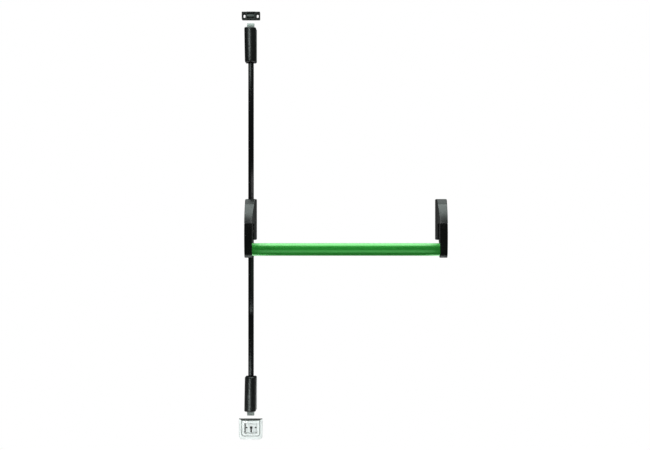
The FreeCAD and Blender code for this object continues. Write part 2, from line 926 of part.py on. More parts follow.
def make_pinion():
    """The pinion, with a tooth on each side in line with the racks at rest."""
    base_radius = pitch_radius * math.cos(pressure_angle)
    root_radius = pitch_radius - dedendum
    tip_radius = pitch_radius + addendum
    tooth_half = math.pi / (2 * pinion_teeth) - backlash / (2 * pitch_radius) + involute(pressure_angle)
    centre = (0.0, pinion_height)
    path = []
    for tooth in range(pinion_teeth):
        middle = 2 * math.pi * tooth / pinion_teeth
        flank = []
        for radius in (base_radius, pitch_radius, tip_radius):
            half = tooth_half - involute(math.acos(base_radius / radius))
            flank.append((radius, half))
        rising = [(root_radius, flank[0][1])] + flank
        path += [on_circle(centre, radius, middle - half) for radius, half in rising]
        path += [on_circle(centre, radius, middle + half) for radius, half in reversed(rising)]
    wheel = front_prism(path, pinion_depths)
    return wheel.cut(
        rod_along_depth(axle_radius + running_fit, (0.0, 3 * rod_depth), 0.0, pinion_height)
    )


def make_axle():
    """The fixed stud that the pinion turns on, with a six-sided collar and head."""
    head_start = pinion_depths[1] + guide_fit
    stud_depths = (plate_thickness / 4, head_start + axle_head)
    stud = rod_along_depth(axle_radius, stud_depths, 0.0, pinion_height)
    middle = (0.0, pinion_height)
    head = front_prism(hexagon(axle_head_flats, middle), (head_start, head_start + axle_head))
    collar_depths = (plate_thickness, pinion_depths[0] - guide_fit)
    collar = front_prism(hexagon(axle_collar_flats, middle), collar_depths)
    return fuse(stud, head, collar)


def rack(side, heights, toothed):
    """A rack beside the pinion, with teeth in the toothed range and a gap at the pinion's level."""
    half = tooth_pitch / 4 - backlash / 2
    lean = math.tan(pressure_angle)
    root_half = half + dedendum * lean
    tip_half = half - addendum * lean
    path = [(side * rack_back, heights[0]), (side * rack_root, heights[0])]
    first = math.ceil((toothed[0] + root_half - pinion_height) / tooth_pitch - 0.5)
    last = math.floor((toothed[1] - root_half - pinion_height) / tooth_pitch - 0.5)
    for tooth in range(first, last + 1):
        middle = pinion_height + (tooth + 0.5) * tooth_pitch
        path.append((side * rack_root, middle - root_half))
        path.append((side * rack_tip, middle - tip_half))
        path.append((side * rack_tip, middle + tip_half))
        path.append((side * rack_root, middle + root_half))
    path.append((side * rack_root, heights[1]))
    path.append((side * rack_back, heights[1]))
    return front_prism(path, slide_depths)


mesh_reach = tooth_pitch + gear_module  # teeth beyond the travel, at both ends of a rack
upper_rack_top = pinion_height + bolt_travel + upper_rack_spare * mesh_reach
upper_rack_low = pinion_height - rack_spare * mesh_reach
lower_rack_low = pinion_height - bolt_travel - rack_spare * mesh_reach
lower_rack_top = pinion_height + lower_rack_spare * mesh_reach
web_inner = rod_radius + web_margin
lower_web_top = lower_rack_low
upper_web_low = upper_rack_top
bridge_top = pinion_height + 2 * pitch_radius + bridge_clear
bridge_depth = rod_depth + rod_radius + bridge_gap


def make_upper_slide():
    """The left rack, with the web that the upper rod screws into."""
    teeth = rack(-1, (upper_rack_low, upper_web_low + margin), (upper_rack_low, upper_web_low))
    web = block((-rack_back, web_inner), slide_depths, (upper_web_low, upper_web_low + web_height))
    thread = rod_along_z(
        thread_radius + thread_fit,
        (upper_web_low + web_height - web_thread, upper_web_low + web_height + margin),
        0.0,
        rod_depth,
    )
    return fuse(teeth, web).cut(thread)


finger_low = toe_rest[1] + dog_toe_radius + finger_gap


def make_lower_slide():
    """The right rack, the web for the lower rod, and the hook that the dog lifts."""
    teeth = rack(1, (lower_web_top - margin, bridge_top), (lower_rack_low, lower_rack_top))
    web = block((-web_inner, rack_back), slide_depths, (lower_web_top - web_height, lower_web_top))
    bridge_depths = (bridge_depth, bridge_depth + bridge_thickness)
    bridge_heights = (bridge_top - bridge_height, bridge_top)
    riser = block((rack_root, rack_back), (slide_depths[1] - margin, bridge_depths[1]), bridge_heights)
    bridge = block((strip_near, rack_back), bridge_depths, bridge_heights)
    strip_end = strip_depth + strip_thickness
    jog = block((strip_near, strip_far), (bridge_depth, strip_end), bridge_heights)
    strip = block(
        (strip_near, strip_far), (strip_depth, strip_end), (bridge_heights[0], finger_low + finger_height)
    )
    finger = block(
        (-strip_far, strip_far),
        (toe_rest[0] - finger_half, toe_rest[0] + finger_half),
        (finger_low, finger_low + finger_height),
    )
    thread = rod_along_z(
        thread_radius + thread_fit,
        (lower_web_top - web_height - margin, lower_web_top - web_height + web_thread),
        0.0,
        rod_depth,
    )
    return fuse(teeth, web, riser, bridge, jog, strip, finger).cut(thread)


def make_slide_guide(side, heights):
    """A channel that holds one rack against the pinion."""
    inner = rack_back + guide_fit
    floor_top = slide_depths[0] - guide_fit
    lip_start = slide_depths[1] + guide_fit
    floor = block(span(side, rack_root, inner + guide_wall), (plate_thickness, floor_top), heights)
    wall = block(span(side, inner, inner + guide_wall), (plate_thickness, lip_start + guide_lip), heights)
    lip_depths = (lip_start, lip_start + guide_lip)
    lip = block(span(side, rack_back - guide_lip_reach, inner + guide_wall), lip_depths, heights)
    return fuse(floor, wall, lip)


def make_buffer():
    """The rubber block under the toe of the dog."""
    return block(
        (dog_far + buffer_inset, dog_near - buffer_inset),
        (toe_rest[0] - dog_toe_radius + buffer_inset, toe_rest[0] + dog_toe_radius - buffer_inset),
        (tab_top, buffer_top),
    )


def make_stop_bar(x):
    """The bar that the return spring reacts on, held in the right cheek."""
    return moved(stop_bar(stop_bar_half, (stop_bar_start, cheek_outer)), x)


def biarc(start, start_way, end, end_way):
    """Two arcs that leave start along start_way and reach end along end_way, and meet smoothly."""
    chord = end - start
    ways = start_way + end_way
    reach = chord.dot(chord)
    across = chord.dot(ways)
    turn = 2 * (1 - start_way.dot(end_way))
    leg = (-across + math.sqrt(across**2 + turn * reach)) / turn
    first = start + start_way * leg
    second = end - end_way * leg
    meeting = (first + second) * 0.5
    arcs = []
    for near, corner, far in ((start, first, meeting), (meeting, second, end)):
        middle = (near + far) * 0.5
        bend = (far - near).Length / 2 / leg
        arcs.append(Part.Arc(near, middle + (corner - middle) * (bend / (1 + bend)), far).toShape())
    return arcs


def least_gap(path, diameter, turn):
    """The least gap between points of a wound path that lie half a turn or more apart."""
    points = path.discretize(Distance=turn / gap_steps)
    apart = gap_steps // 2
    nearest = min(
        points[first].distanceToPoint(points[second])
        for first in range(len(points))
        for second in range(first + apart, len(points))
    )
    return nearest - diameter


def wound_wire(name, quarters, point, way, diameter, legs):
    """A wire wound through quarter turns. point and way give its middle line and its direction
    after each quarter, and legs are straight runs before and after the turns."""
    edges = []
    first, last = point(0), point(quarters)
    start = first - way(0) * legs[0]
    if legs[0]:
        edges.append(Part.makeLine(start, first))
    for quarter in range(quarters):
        edges += biarc(point(quarter), way(quarter), point(quarter + 1), way(quarter + 1))
    if legs[1]:
        edges.append(Part.makeLine(last, last + way(quarters) * legs[1]))
    path = Part.Wire(edges)
    turn = 2 * math.sqrt(2) * point(0).distanceToPoint(point(1))
    print(f"{name}: least gap to itself {least_gap(path, diameter, turn):.2f} mm")
    first_way = way(0)
    beside = first_way.cross(Vector(*wire_lead)).normalize()
    above = first_way.cross(beside)
    corners = []
    for step in range(wire_sides):
        angle = 2 * math.pi * step / wire_sides
        corners.append(start + (beside * math.cos(angle) + above * math.sin(angle)) * (diameter / 2))
    ring = Part.makePolygon(corners + [corners[0]])
    return path.makePipeShell([ring], True, False)


def helix_way(around, advance, is_end):
    """The direction along a helix, which is square to its axis at the ends of the turns."""
    way = around if is_end else around + advance
    return Vector(way).normalize()


def make_return_spring(x):
    """A torsion spring: one leg under the stop pin, the other behind the lug of the lever."""
    quarters = 4 * return_turns + 1
    advance = Vector(return_pitch / (2 * math.pi * return_coil_radius), 0, 0)

    def point(quarter):
        angle = math.pi / 2 * (1 - quarter)
        depth, z = on_circle((pivot_depth, pivot_height), return_coil_radius, angle)
        return at(return_start + return_pitch * quarter / 4, depth, z)

    def way(quarter):
        angle = math.pi / 2 * (1 - quarter)
        around = Vector(0, -math.sin(angle), -math.cos(angle))
        return helix_way(around, advance, quarter in (0, quarters))

    legs = (return_leg_to_stop, return_leg_to_lever)
    return moved(wound_wire("return spring", quarters, point, way, return_wire, legs), x)


def make_bolt_spring():
    """The compression spring between the cross wall and the bolt."""
    quarters = 4 * bolt_spring_turns
    low = cross_wall_start + cross_wall_thickness + bolt_spring_wire / 2
    rise = bolt_start - bolt_spring_wire / 2 - low
    advance = Vector(0, 0, rise / (2 * math.pi * bolt_spring_radius * bolt_spring_turns))

    def point(quarter):
        angle = math.pi / 2 * quarter
        x, depth = on_circle((0.0, stem_depth), bolt_spring_radius, angle)
        return at(x, depth, low + rise * quarter / quarters)

    def way(quarter):
        angle = math.pi / 2 * quarter
        around = Vector(-math.sin(angle), -math.cos(angle), 0)
        return helix_way(around, advance, quarter in (0, quarters))

    return wound_wire("bolt spring", quarters, point, way, bolt_spring_wire, (0, 0))


rod_thread_start = adaptor_start - lock_nut_height - rod_thread_bare


def make_rod(shoulder, thread_end):
    """A rod from its shoulder on the slide to the adaptor, threaded at both ends."""
    body = rod_along_z(rod_radius, (shoulder, rod_thread_start), 0.0, rod_depth)
    far_end = adaptor_start + adaptor_height - adaptor_floor - margin
    thread = rod_along_z(thread_radius, (thread_end, far_end), 0.0, rod_depth)
    return fuse(body, thread)


def make_adaptor():
    """The block that links the rod with the bolt's stem, which lies further from the door."""
    low, high = adaptor_start, adaptor_start + adaptor_height
    near = rod_depth - thread_radius - adaptor_wall
    far = stem_depth + stem_radius + adaptor_wall
    form = block((-adaptor_half_width, adaptor_half_width), (near, far), (low, high))
    thread = thread_radius + thread_fit
    rod_thread = rod_along_z(thread, (low - margin, high - adaptor_floor), 0.0, rod_depth)
    stem_hole = (low + adaptor_floor, high + margin)
    stem_thread = rod_along_z(stem_radius + thread_fit, stem_hole, 0.0, stem_depth)
    return form.cut([rod_thread, stem_thread])


def make_lock_nut():
    low = adaptor_start - lock_nut_height
    nut = plan_prism(hexagon(lock_nut_flats, (0.0, rod_depth)), (low, adaptor_start))
    return nut.cut(
        rod_along_z(thread_radius + thread_fit, (low - margin, adaptor_start + margin), 0.0, rod_depth)
    )


bolt_end = end_cover_end + bolt_throw
bolt_depths = (bolt_depth, bolt_depth + bolt_thickness)


def make_bolt():
    """The bolt, bevelled on the room side of its tip, with the stem that screws into the adaptor."""
    head = side_prism(
        [
            (bolt_depths[0], bolt_start),
            (bolt_depths[1], bolt_start),
            (bolt_depths[1], bolt_end - bolt_bevel_height),
            (bolt_depths[1] - bolt_bevel_depth, bolt_end),
            (bolt_depths[0], bolt_end),
        ],
        (-bolt_half_width, bolt_half_width),
    )
    stem_low = adaptor_start + adaptor_floor + margin
    return fuse(head, rod_along_z(stem_radius, (stem_low, bolt_start), 0.0, stem_depth))


case_end_low = end_cover_start + end_cover_wall + latch_gap
case_end_high = end_cover_end - end_cover_wall - latch_gap
keeper_depth = bolt_depths[1] + bolt_fit
keeper_tabs = (
    (latch_side_start + keeper_tab_margin, latch_side_start + keeper_tab_margin + keeper_tab),
    (latch_side_end - keeper_tab_margin - keeper_tab, latch_side_end - keeper_tab_margin),
)


def keeper_tab_blocks(play):
    """The four tabs of the keeper plate, let into the side walls, with play round each."""
    return [
        block(
            span(side, latch_half_width - latch_side_wall, latch_half_width + play),
            (keeper_depth - keeper_tab_drop - play, keeper_depth + play),
            (low - play, high + play),
        )
        for side in (-1, 1)
        for low, high in keeper_tabs
    ]


def make_latch_case():
    """The channel that the bolt slides in, with the cross wall that guides its stem."""
    low, high = (-latch_half_width, case_end_low), (latch_half_width, case_end_high)
    pieces = [front_prism(rounded_box_path(low, high, (latch_corner, latch_corner)), (0.0, latch_plate))]
    base = latch_plate / 2
    cross_wall = (cross_wall_start, cross_wall_start + cross_wall_thickness)
    for side in (-1, 1):
        wall = span(side, latch_half_width - latch_side_wall, latch_half_width)
        pieces.append(block(wall, (base, keeper_depth), (latch_side_start, latch_side_end)))
        pieces.append(block(wall, (base, bolt_depth), (cross_wall_start, latch_side_start + margin)))
    pieces.append(
        block((-bed_half_width, bed_half_width), (base, bolt_depth - bolt_fit), (bed_start, latch_side_end))
    )
    pieces.append(block((-latch_half_width, latch_half_width), (base, cross_wall_top), cross_wall))
    tools = fixing_holes(
        latch_fixing_half_pitch_x, (latch_fixing_height,), latch_fixing_radius, latch_plate
    )
    stem_heights = (cross_wall[0] - margin, cross_wall[1] + margin)
    tools.append(rod_along_z(stem_radius + running_fit, stem_heights, 0.0, stem_depth))
    return fuse(*pieces).cut(tools + keeper_tab_blocks(push_fit))


def make_keeper_plate():
    """The plate that closes the latch case over the bolt."""
    plate = block(
        (-latch_half_width, latch_half_width),
        (keeper_depth, keeper_depth + keeper_thickness),
        (latch_side_start, latch_side_end),
    )
    return fuse(plate, *keeper_tab_blocks(0.0))


def end_cover_form(inset, back, heights):
    """The form of an end cover drawn in by inset, between two heights. Its front is part of a
    cone that widens towards the bolt, between two straight sides."""
    low = at(0.0, end_cover_axis[0], end_cover_start)
    way = at(0.0, end_cover_axis[1], end_cover_end) - low
    radii = [front - axis - inset for front, axis in zip(end_cover_front, end_cover_axis)]
    spread = radii[1] - radii[0]
    cone = Part.makeCone(radii[0] - spread, radii[1] + spread, 3 * way.Length, low - way, way)
    behind = side_prism(
        [
            (back, end_cover_start - margin),
            (end_cover_axis[0], end_cover_start - margin),
            (end_cover_axis[1], end_cover_end + margin),
            (back, end_cover_end + margin),
        ],
        (-end_cover_half_width, end_cover_half_width),
    )
    half = end_cover_half_width - inset
    return fuse(cone, behind).common(block((-half, half), (back, 2 * end_cover_front[1]), heights))


def end_cover_bevels():
    """Two wedges that bevel the front edge of an end cover, at the rod end and at the bolt end."""
    width = (-end_cover_half_width, end_cover_half_width)
    rod_end = [
        (end_cover_front[0] - end_cover_bevel[0], end_cover_start - margin),
        (end_cover_front[0] + 2 * margin, end_cover_start - margin),
        (end_cover_front[0] + 2 * margin, end_cover_start + end_cover_bevel[0] + 2 * margin),
        (end_cover_front[0] - end_cover_bevel[0], end_cover_start),
    ]
    bolt_end_wedge = [
        (end_cover_front[1] - end_cover_bevel[1], end_cover_end + margin),
        (end_cover_front[1] - end_cover_bevel[1], end_cover_end),
        (end_cover_front[1] + 2 * margin, end_cover_end - end_cover_bevel[1] - 2 * margin),
        (end_cover_front[1] + 2 * margin, end_cover_end + margin),
    ]
    return [side_prism(path, width) for path in (rod_end, bolt_end_wedge)]


def make_end_cover():
    """The cover over a latch, with the window for its bolt."""
    form = end_cover_form(0.0, 0.0, (end_cover_start, end_cover_end))
    inner = (end_cover_start + end_cover_wall, end_cover_end - end_cover_wall)
    hollow = end_cover_form(end_cover_wall, -margin, inner)
    window_half = bolt_half_width + bolt_fit
    window = block(
        (-window_half, window_half),
        (bolt_depths[0] - bolt_fit, bolt_depths[1] + bolt_fit),
        (inner[1] - margin, end_cover_end + margin),
    )
    hole_heights = (end_cover_start - margin, inner[0] + margin)
    hole_radius = lock_nut_flats / math.sqrt(3) + lock_nut_play
    rod_hole = rod_along_z(hole_radius, hole_heights, 0.0, rod_depth)
    return form.cut([hollow, window, rod_hole] + end_cover_bevels())


def make_rod_cover():
    """The channel over a rod, from the casing to the end cover."""
    half = rod_cover_width / 2
    heights = (case_top, end_cover_start)
    corner = rod_cover_round * (1 - math.sqrt(0.5))
    outline = [
        (-half, 0.0),
        (-half, rod_cover_depth - rod_cover_round),
        ((corner - half, rod_cover_depth - corner), (rod_cover_round - half, rod_cover_depth)),
        (half - rod_cover_round, rod_cover_depth),
        ((half - corner, rod_cover_depth - corner), (half, rod_cover_depth - rod_cover_round)),
        (half, 0.0),
    ]
    inner = half - rod_cover_wall
    bore = block(
        (-inner, inner),
        (-margin, rod_cover_depth - rod_cover_wall),
        (heights[0] - margin, heights[1] + margin),
    )
    return plan_prism(outline, heights).cut(bore)


def make_rod_guide(middle):
    """A saddle on the door that a rod slides in."""
    half = rod_cover_width / 2 - rod_cover_wall - bolt_fit
    heights = (middle - guide_length / 2, middle + guide_length / 2)
    saddle = block((-half, half), (0.0, rod_depth), heights)
    return saddle.cut(
        rod_along_z(rod_radius + running_fit, (heights[0] - margin, heights[1] + margin), 0.0, rod_depth)
    )


top_strike_top = top_strike_low + top_strike_height
roller_height = top_strike_low + top_strike_height / 2
roller_half = top_strike_window - roller_play


def make_top_strike():
    """The strike over the top bolt, with a window for its roller and a mouth for the bolt."""
    corners = (top_strike_round, top_strike_round)
    wings = front_prism(
        rounded_box_path(
            (-top_strike_half_width, top_strike_low), (top_strike_half_width, top_strike_top), corners
        ),
        (0.0, top_strike_wing),
    )
    boss = block(
        (-top_strike_boss, top_strike_boss), (0.0, top_strike_depth), (top_strike_low, top_strike_top)
    )
    window = block(
        (-top_strike_window, top_strike_window),
        (top_strike_floor, top_strike_depth + margin),
        (top_strike_low + top_strike_bar, top_strike_top - top_strike_bar),
    )
    mouth = block(
        (-top_strike_window, top_strike_window),
        (top_strike_floor, top_strike_depth - top_strike_bar),
        (top_strike_low - margin, top_strike_low + top_strike_bar + margin),
    )
    pin_end = top_strike_boss + margin
    pin = rod_along_x(roller_pin_radius + push_fit, (-pin_end, pin_end), roller_depth, roller_height)
    tools = [window, mouth, pin]
    slot_ends = (strike_slot_width / 2 - strike_slot_flat, strike_slot_width / 2 - strike_slot_flat)
    for side in (-1, 1):
        low = (side * strike_slot_place - strike_slot_width / 2, roller_height - strike_slot_height / 2)
        high = (side * strike_slot_place + strike_slot_width / 2, roller_height + strike_slot_height / 2)
        tools.append(front_prism(rounded_box_path(low, high, slot_ends), (-margin, top_strike_depth)))
    return fuse(wings, boss).cut(tools)


def make_roller():
    """The roller that the top bolt bears on."""
    across = (-roller_half, roller_half)
    roller = rod_along_x(roller_radius, across, roller_depth, roller_height)
    return roller.cut(rod_along_x(roller_pin_radius + running_fit, across, roller_depth, roller_height))


def make_roller_pin():
    """The pin that the roller turns on."""
    across = (-top_strike_boss, top_strike_boss)
    return rod_along_x(roller_pin_radius, across, roller_depth, roller_height)


floor_strike_foot = floor_strike_top - floor_strike_height
socket_top = floor_strike_top - socket_drop
socket_foot = socket_top - socket_height
socket_middle = (socket_top + socket_foot) / 2


def make_floor_plate():
    """The bevelled plate round the socket of the bottom bolt."""
    depths = (cup_depth, cup_depth + floor_strike_plate)
    outline = rounded_box_path(
        (-floor_strike_half_width, floor_strike_foot),
        (floor_strike_half_width, floor_strike_top),
        (floor_strike_foot_round, floor_strike_round),
    )
    plate = front_prism(outline, depths)
    rim = [edge for edge in plate.Edges if edge.BoundBox.YMax < -depths[1] + 1e-3]
    plate = plate.makeChamfer(floor_strike_bevel, rim)
    return plate.cut(
        block(
            (-socket_half_width, socket_half_width),
            (depths[0] - margin, depths[1] + margin),
            (socket_foot, socket_top),
        )
    )


def make_floor_cup():
    """The cup behind the plate, with two screw holes and a keyhole in its floor."""
    outer = block(
        (-socket_half_width - cup_wall, socket_half_width + cup_wall),
        (0.0, cup_depth),
        (socket_foot - cup_wall, socket_top + cup_wall),
    )
    across = (-socket_half_width, socket_half_width)
    hollow = block(across, (cup_floor, cup_depth + margin), (socket_foot, socket_top))
    through = (-margin, cup_floor + margin)
    tools = [hollow, rod_along_depth(keyhole_radius, through, 0.0, socket_middle)]
    for side in (-1, 1):
        place = side * cup_hole_half_pitch
        tools.append(rod_along_depth(cup_hole_radius, through, place, socket_middle))
    slot = (-keyhole_slot / 2, keyhole_slot / 2)
    tools.append(block(slot, through, (socket_foot + keyhole_margin, socket_middle)))
    return outer.cut(tools)


def save(name, *solids):
    """Write one node: a solid, or a group of like solids."""
    shape = solids[0] if len(solids) == 1 else Part.makeCompound(list(solids))
    shape.exportStep(f"parts/{name}.step")


os.makedirs("parts", exist_ok=True)

for name, x, drive in (("active", 0.0, True), ("idle", casing_span, False)):
    save(f"{name}_chassis", moved(make_chassis(drive), x))
    save(f"{name}_housing", moved(make_housing(drive), x))
    save(f"{name}_cap", moved(make_cap(), x))
    save(f"{name}_lever", moved(make_lever(1 if drive else -1), x))
    save(f"{name}_pivot_spindle", moved(make_spindle(), x))

ends = (0.0, casing_span)
save("pivot_bushes", *[bush for x in ends for bush in make_bushes(x)])
save("spring_stop_bars", *[make_stop_bar(x) for x in ends])
save("spindle_clips", *[clip for x in ends for clip in make_clips(x)])
save("return_springs", *[make_return_spring(x) for x in ends])
save("spacer_sleeve", moved(make_spacer(), casing_span))

save("push_bar_tube", make_bar())
save("bar_end_plugs", make_plug(bar_range[0]), make_plug(bar_range[1] - plug_length))
save("bar_clamp_screws", *[make_clamp_screw(x) for x in ends])

save("drive_dog", make_dog())
save("stop_buffer", make_buffer())
save("pinion", make_pinion())
save("pinion_axle", make_axle())
save(
    "slide_guides",
    make_slide_guide(-1, (lower_rack_low, bridge_top + guide_beyond)),
    make_slide_guide(1, (lower_rack_low, bridge_top - bridge_height - guide_beyond)),
)
save("upper_slide", make_upper_slide())
save("lower_slide", make_lower_slide())

upper_shoulder = upper_web_low + web_height
lower_shoulder = -(lower_web_top - web_height)
save("upper_rod", make_rod(upper_shoulder, upper_shoulder - web_thread + thread_fit))
save("lower_rod", mirrored(make_rod(lower_shoulder, lower_shoulder - web_thread + thread_fit)))

for name, rod_name, place in (("top", "upper", lambda shape: shape), ("bottom", "lower", mirrored)):
    save(f"{rod_name}_rod_adaptor", place(make_adaptor()))
    save(f"{rod_name}_lock_nut", place(make_lock_nut()))
    save(f"{rod_name}_rod_cover", place(make_rod_cover()))
    save(f"{rod_name}_rod_guides", *[place(make_rod_guide(z)) for z in guide_places])
    save(f"{name}_bolt", place(make_bolt()))
    save(f"{name}_latch_case", place(make_latch_case()))
    save(f"{name}_keeper_plate", place(make_keeper_plate()))
    save(f"{name}_end_cover", place(make_end_cover()))

save("bolt_springs", make_bolt_spring(), mirrored(make_bolt_spring()))

save("top_strike_body", make_top_strike())
save("top_strike_roller", make_roller())
save("strike_roller_pin", make_roller_pin())
save("floor_strike_plate", make_floor_plate())
save("floor_strike_cup", make_floor_cup())
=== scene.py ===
"""Looks of a panic bar: surfaces, finishes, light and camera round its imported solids.

Lengths are millimetres and become metres where a mesh is made. x runs along the bar, a depth is
the distance from the door face towards the room, which is -Y, and z is up.
"""

import json
import logging
import math
from collections.abc import Callable, Sequence
from dataclasses import dataclass
from enum import Enum

import bmesh
import bpy
import numpy as np
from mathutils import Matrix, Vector


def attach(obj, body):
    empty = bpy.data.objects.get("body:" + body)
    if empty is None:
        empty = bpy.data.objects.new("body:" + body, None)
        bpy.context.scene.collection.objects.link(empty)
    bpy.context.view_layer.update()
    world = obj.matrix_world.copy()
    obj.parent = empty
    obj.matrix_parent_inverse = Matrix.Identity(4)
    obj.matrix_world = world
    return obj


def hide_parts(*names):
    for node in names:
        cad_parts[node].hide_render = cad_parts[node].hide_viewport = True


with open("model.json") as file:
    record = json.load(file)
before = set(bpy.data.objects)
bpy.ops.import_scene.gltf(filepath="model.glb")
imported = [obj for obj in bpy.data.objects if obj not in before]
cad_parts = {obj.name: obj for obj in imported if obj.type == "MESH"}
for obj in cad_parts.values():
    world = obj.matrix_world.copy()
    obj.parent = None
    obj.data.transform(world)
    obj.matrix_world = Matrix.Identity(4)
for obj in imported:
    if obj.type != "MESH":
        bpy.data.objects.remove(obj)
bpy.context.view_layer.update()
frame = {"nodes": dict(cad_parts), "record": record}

log = logging.getLogger("panic_bar")

METRE = 0.001
CASING_SPAN = 616.0
Point = tuple[float, float]
Step = Point | tuple[Point, Point]
Piece = bpy.types.Object


class Ends(Enum):
    """What closes a stack of rings."""

    CAPPED = "a polygon on the first ring and on the last"
    JOINED = "the last ring joins the first"


class Cut(Enum):
    """How a tool changes a piece."""

    AWAY = "DIFFERENCE"
    WITHIN = "INTERSECT"
    ADD = "UNION"


class Slot(Enum):
    """The material slots of the record."""

    CASING = "black_casing"
    CAP = "grey_cap"
    BAR = "green_bar"
    PLUG = "plug_plastic"
    ZINC = "zinc_steel"
    BLACKENED = "blackened_steel"
    CAST = "cast_zinc"
    BRIGHT = "bright_steel"
    SPRING = "spring_steel"
    COVER = "black_cover"
    BRONZE = "sintered_bronze"
    RUBBER = "rubber_buffer"
    NYLON = "guide_nylon"
    FLOOR_PLATE = "floor_plate_steel"


# Outlines


def arc_points(start: Point, through: Point, end: Point, count: int) -> np.ndarray:
    """Points after start on the circle through three points, at equal angles up to end.

    The centre is where the perpendicular bisectors of the two chords meet.

    Args:
        start: First point of the arc.
        through: A point on the way.
        end: Last point of the arc.
        count: How many points to give.

    Returns:
        An array of count points.
    """
    corners = np.array([start, through, end])
    chords = 2 * (corners[1:] - corners[0])
    squares = (corners[1:] ** 2).sum(1) - (corners[0] ** 2).sum()
    centre = np.linalg.solve(chords, squares)
    spokes = corners - centre
    first, middle, last = np.arctan2(spokes[:, 1], spokes[:, 0])
    sweep = (last - first) % math.tau
    if (middle - first) % math.tau > sweep:
        sweep -= math.tau
    angles = first + sweep * np.arange(1, count + 1) / count
    radius = np.hypot(*spokes[0])
    return centre + radius * np.stack([np.cos(angles), np.sin(angles)], 1)


def trace(path: Sequence[Step], per_arc: int = 12) -> np.ndarray:
    """Points round a closed path of steps.

    Args:
        path: Points, and pairs of points for an arc that passes the first and ends at the second.
        per_arc: Points on each arc.

    Returns:
        An array of points, without the start repeated at the end.
    """
    points = [np.array([path[0]], float)]
    here = path[0]
    for step in path[1:]:
        if isinstance(step[0], tuple):
            points.append(arc_points(here, step[0], step[1], per_arc))
            here = step[1]
        else:
            points.append(np.array([step], float))
            here = step
    return np.concatenate(points)


def inset(outline: np.ndarray, distance: float | np.ndarray) -> np.ndarray:
    """The outline drawn in, so that each of its sides moves inwards by the distance.

    A corner moves along the sum of the inward normals of its two sides, over one plus the cosine
    of the angle between them.
    """
    ahead = np.roll(outline, -1, 0) - outline
    ahead /= np.linalg.norm(ahead, axis=1, keepdims=True)
    following = np.roll(outline, -1, 0)
    turning = np.sign((outline[:, 0] * following[:, 1] - following[:, 0] * outline[:, 1]).sum())
    normal = turning * np.stack([-ahead[:, 1], ahead[:, 0]], 1)
    before = np.roll(normal, 1, 0)
    lean = (normal + before) / (1 + (normal * before).sum(1, keepdims=True))
    return outline + lean * np.broadcast_to(distance, len(outline))[:, None]


def rounded_rectangle(low: Point, high: Point, foot: float, head: float) -> np.ndarray:
    """A rectangle between two corners, with one radius at its foot and one at its head."""
    (u0, v0), (u1, v1) = low, high
    part = 1 - math.sqrt(0.5)
    return trace(
        [
            (u0 + foot, v0),
            (u1 - foot, v0),
            ((u1 - foot * part, v0 + foot * part), (u1, v0 + foot)),
            (u1, v1 - head),
            ((u1 - head * part, v1 - head * part), (u1 - head, v1)),
            (u0 + head, v1),
            ((u0 + head * part, v1 - head * part), (u0, v1 - head)),
            (u0, v0 + foot),
            ((u0 + foot * part, v0 + foot * part), (u0 + foot, v0)),
        ],
        8,
    )[:-1]


def circle_centre(front: Point, back: Point, radius: float) -> Point:
    """The centre, on the door side, of the circle through two (depth, z) points."""
    half = math.dist(front, back) / 2
    along = ((back[0] - front[0]) / (2 * half), (back[1] - front[1]) / (2 * half))
    reach = math.sqrt(radius**2 - half**2)
    middle = ((front[0] + back[0]) / 2, (front[1] + back[1]) / 2)
    return (middle[0] - reach * along[1], middle[1] + reach * along[0])


def on_circle(centre: Point, radius: float, angle: float) -> Point:
    """The point of a circle at an angle."""
    return (centre[0] + radius * math.cos(angle), centre[1] + radius * math.sin(angle))


# Meshes


def from_rings(name: str, rings: np.ndarray, ends: Ends = Ends.CAPPED) -> Piece:
    """A piece skinned over a stack of closed rings, with its faces outward.

    Point (i, j) of the grid is joined to (i, j + 1) and (i + 1, j), and j runs round the ring.

    Args:
        name: Name of the piece.
        rings: Points in millimetres, one ring after the other.
        ends: What closes the stack.

    Returns:
        The new piece, in the scene.
    """
    stack, around, _ = rings.shape
    index = np.arange(stack * around).reshape(stack, around)
    here = index if ends is Ends.JOINED else index[:-1]
    there = np.roll(index, -1, 0)[: len(here)]
    quads = np.stack([here, np.roll(here, -1, 1), np.roll(there, -1, 1), there], -1)
    faces = quads.reshape(-1, 4).tolist()
    if ends is Ends.CAPPED:
        faces += [index[0].tolist(), index[-1].tolist()]
    mesh = bpy.data.meshes.new(name)
    mesh.from_pydata((rings.reshape(-1, 3) * METRE).tolist(), [], faces)
    clean(mesh)
    piece = bpy.data.objects.new(name, mesh)
    bpy.context.scene.collection.objects.link(piece)
    return piece


def clean(mesh: bpy.types.Mesh) -> None:
    """Merges doubled points, drops faces without area and turns the rest outwards."""
    shape = bmesh.new()
    shape.from_mesh(mesh)
    bmesh.ops.remove_doubles(shape, verts=shape.verts, dist=1e-6)
    bmesh.ops.dissolve_degenerate(shape, edges=shape.edges, dist=1e-7)
    bmesh.ops.recalc_face_normals(shape, faces=shape.faces)
    shape.to_mesh(mesh)
    shape.free()


def lay(first: np.ndarray, second: np.ndarray, third: np.ndarray) -> np.ndarray:
    """Points from their x, depth and z."""
    first, second, third = np.broadcast_arrays(first, second, third)
    return np.stack([first, -second, third], -1)


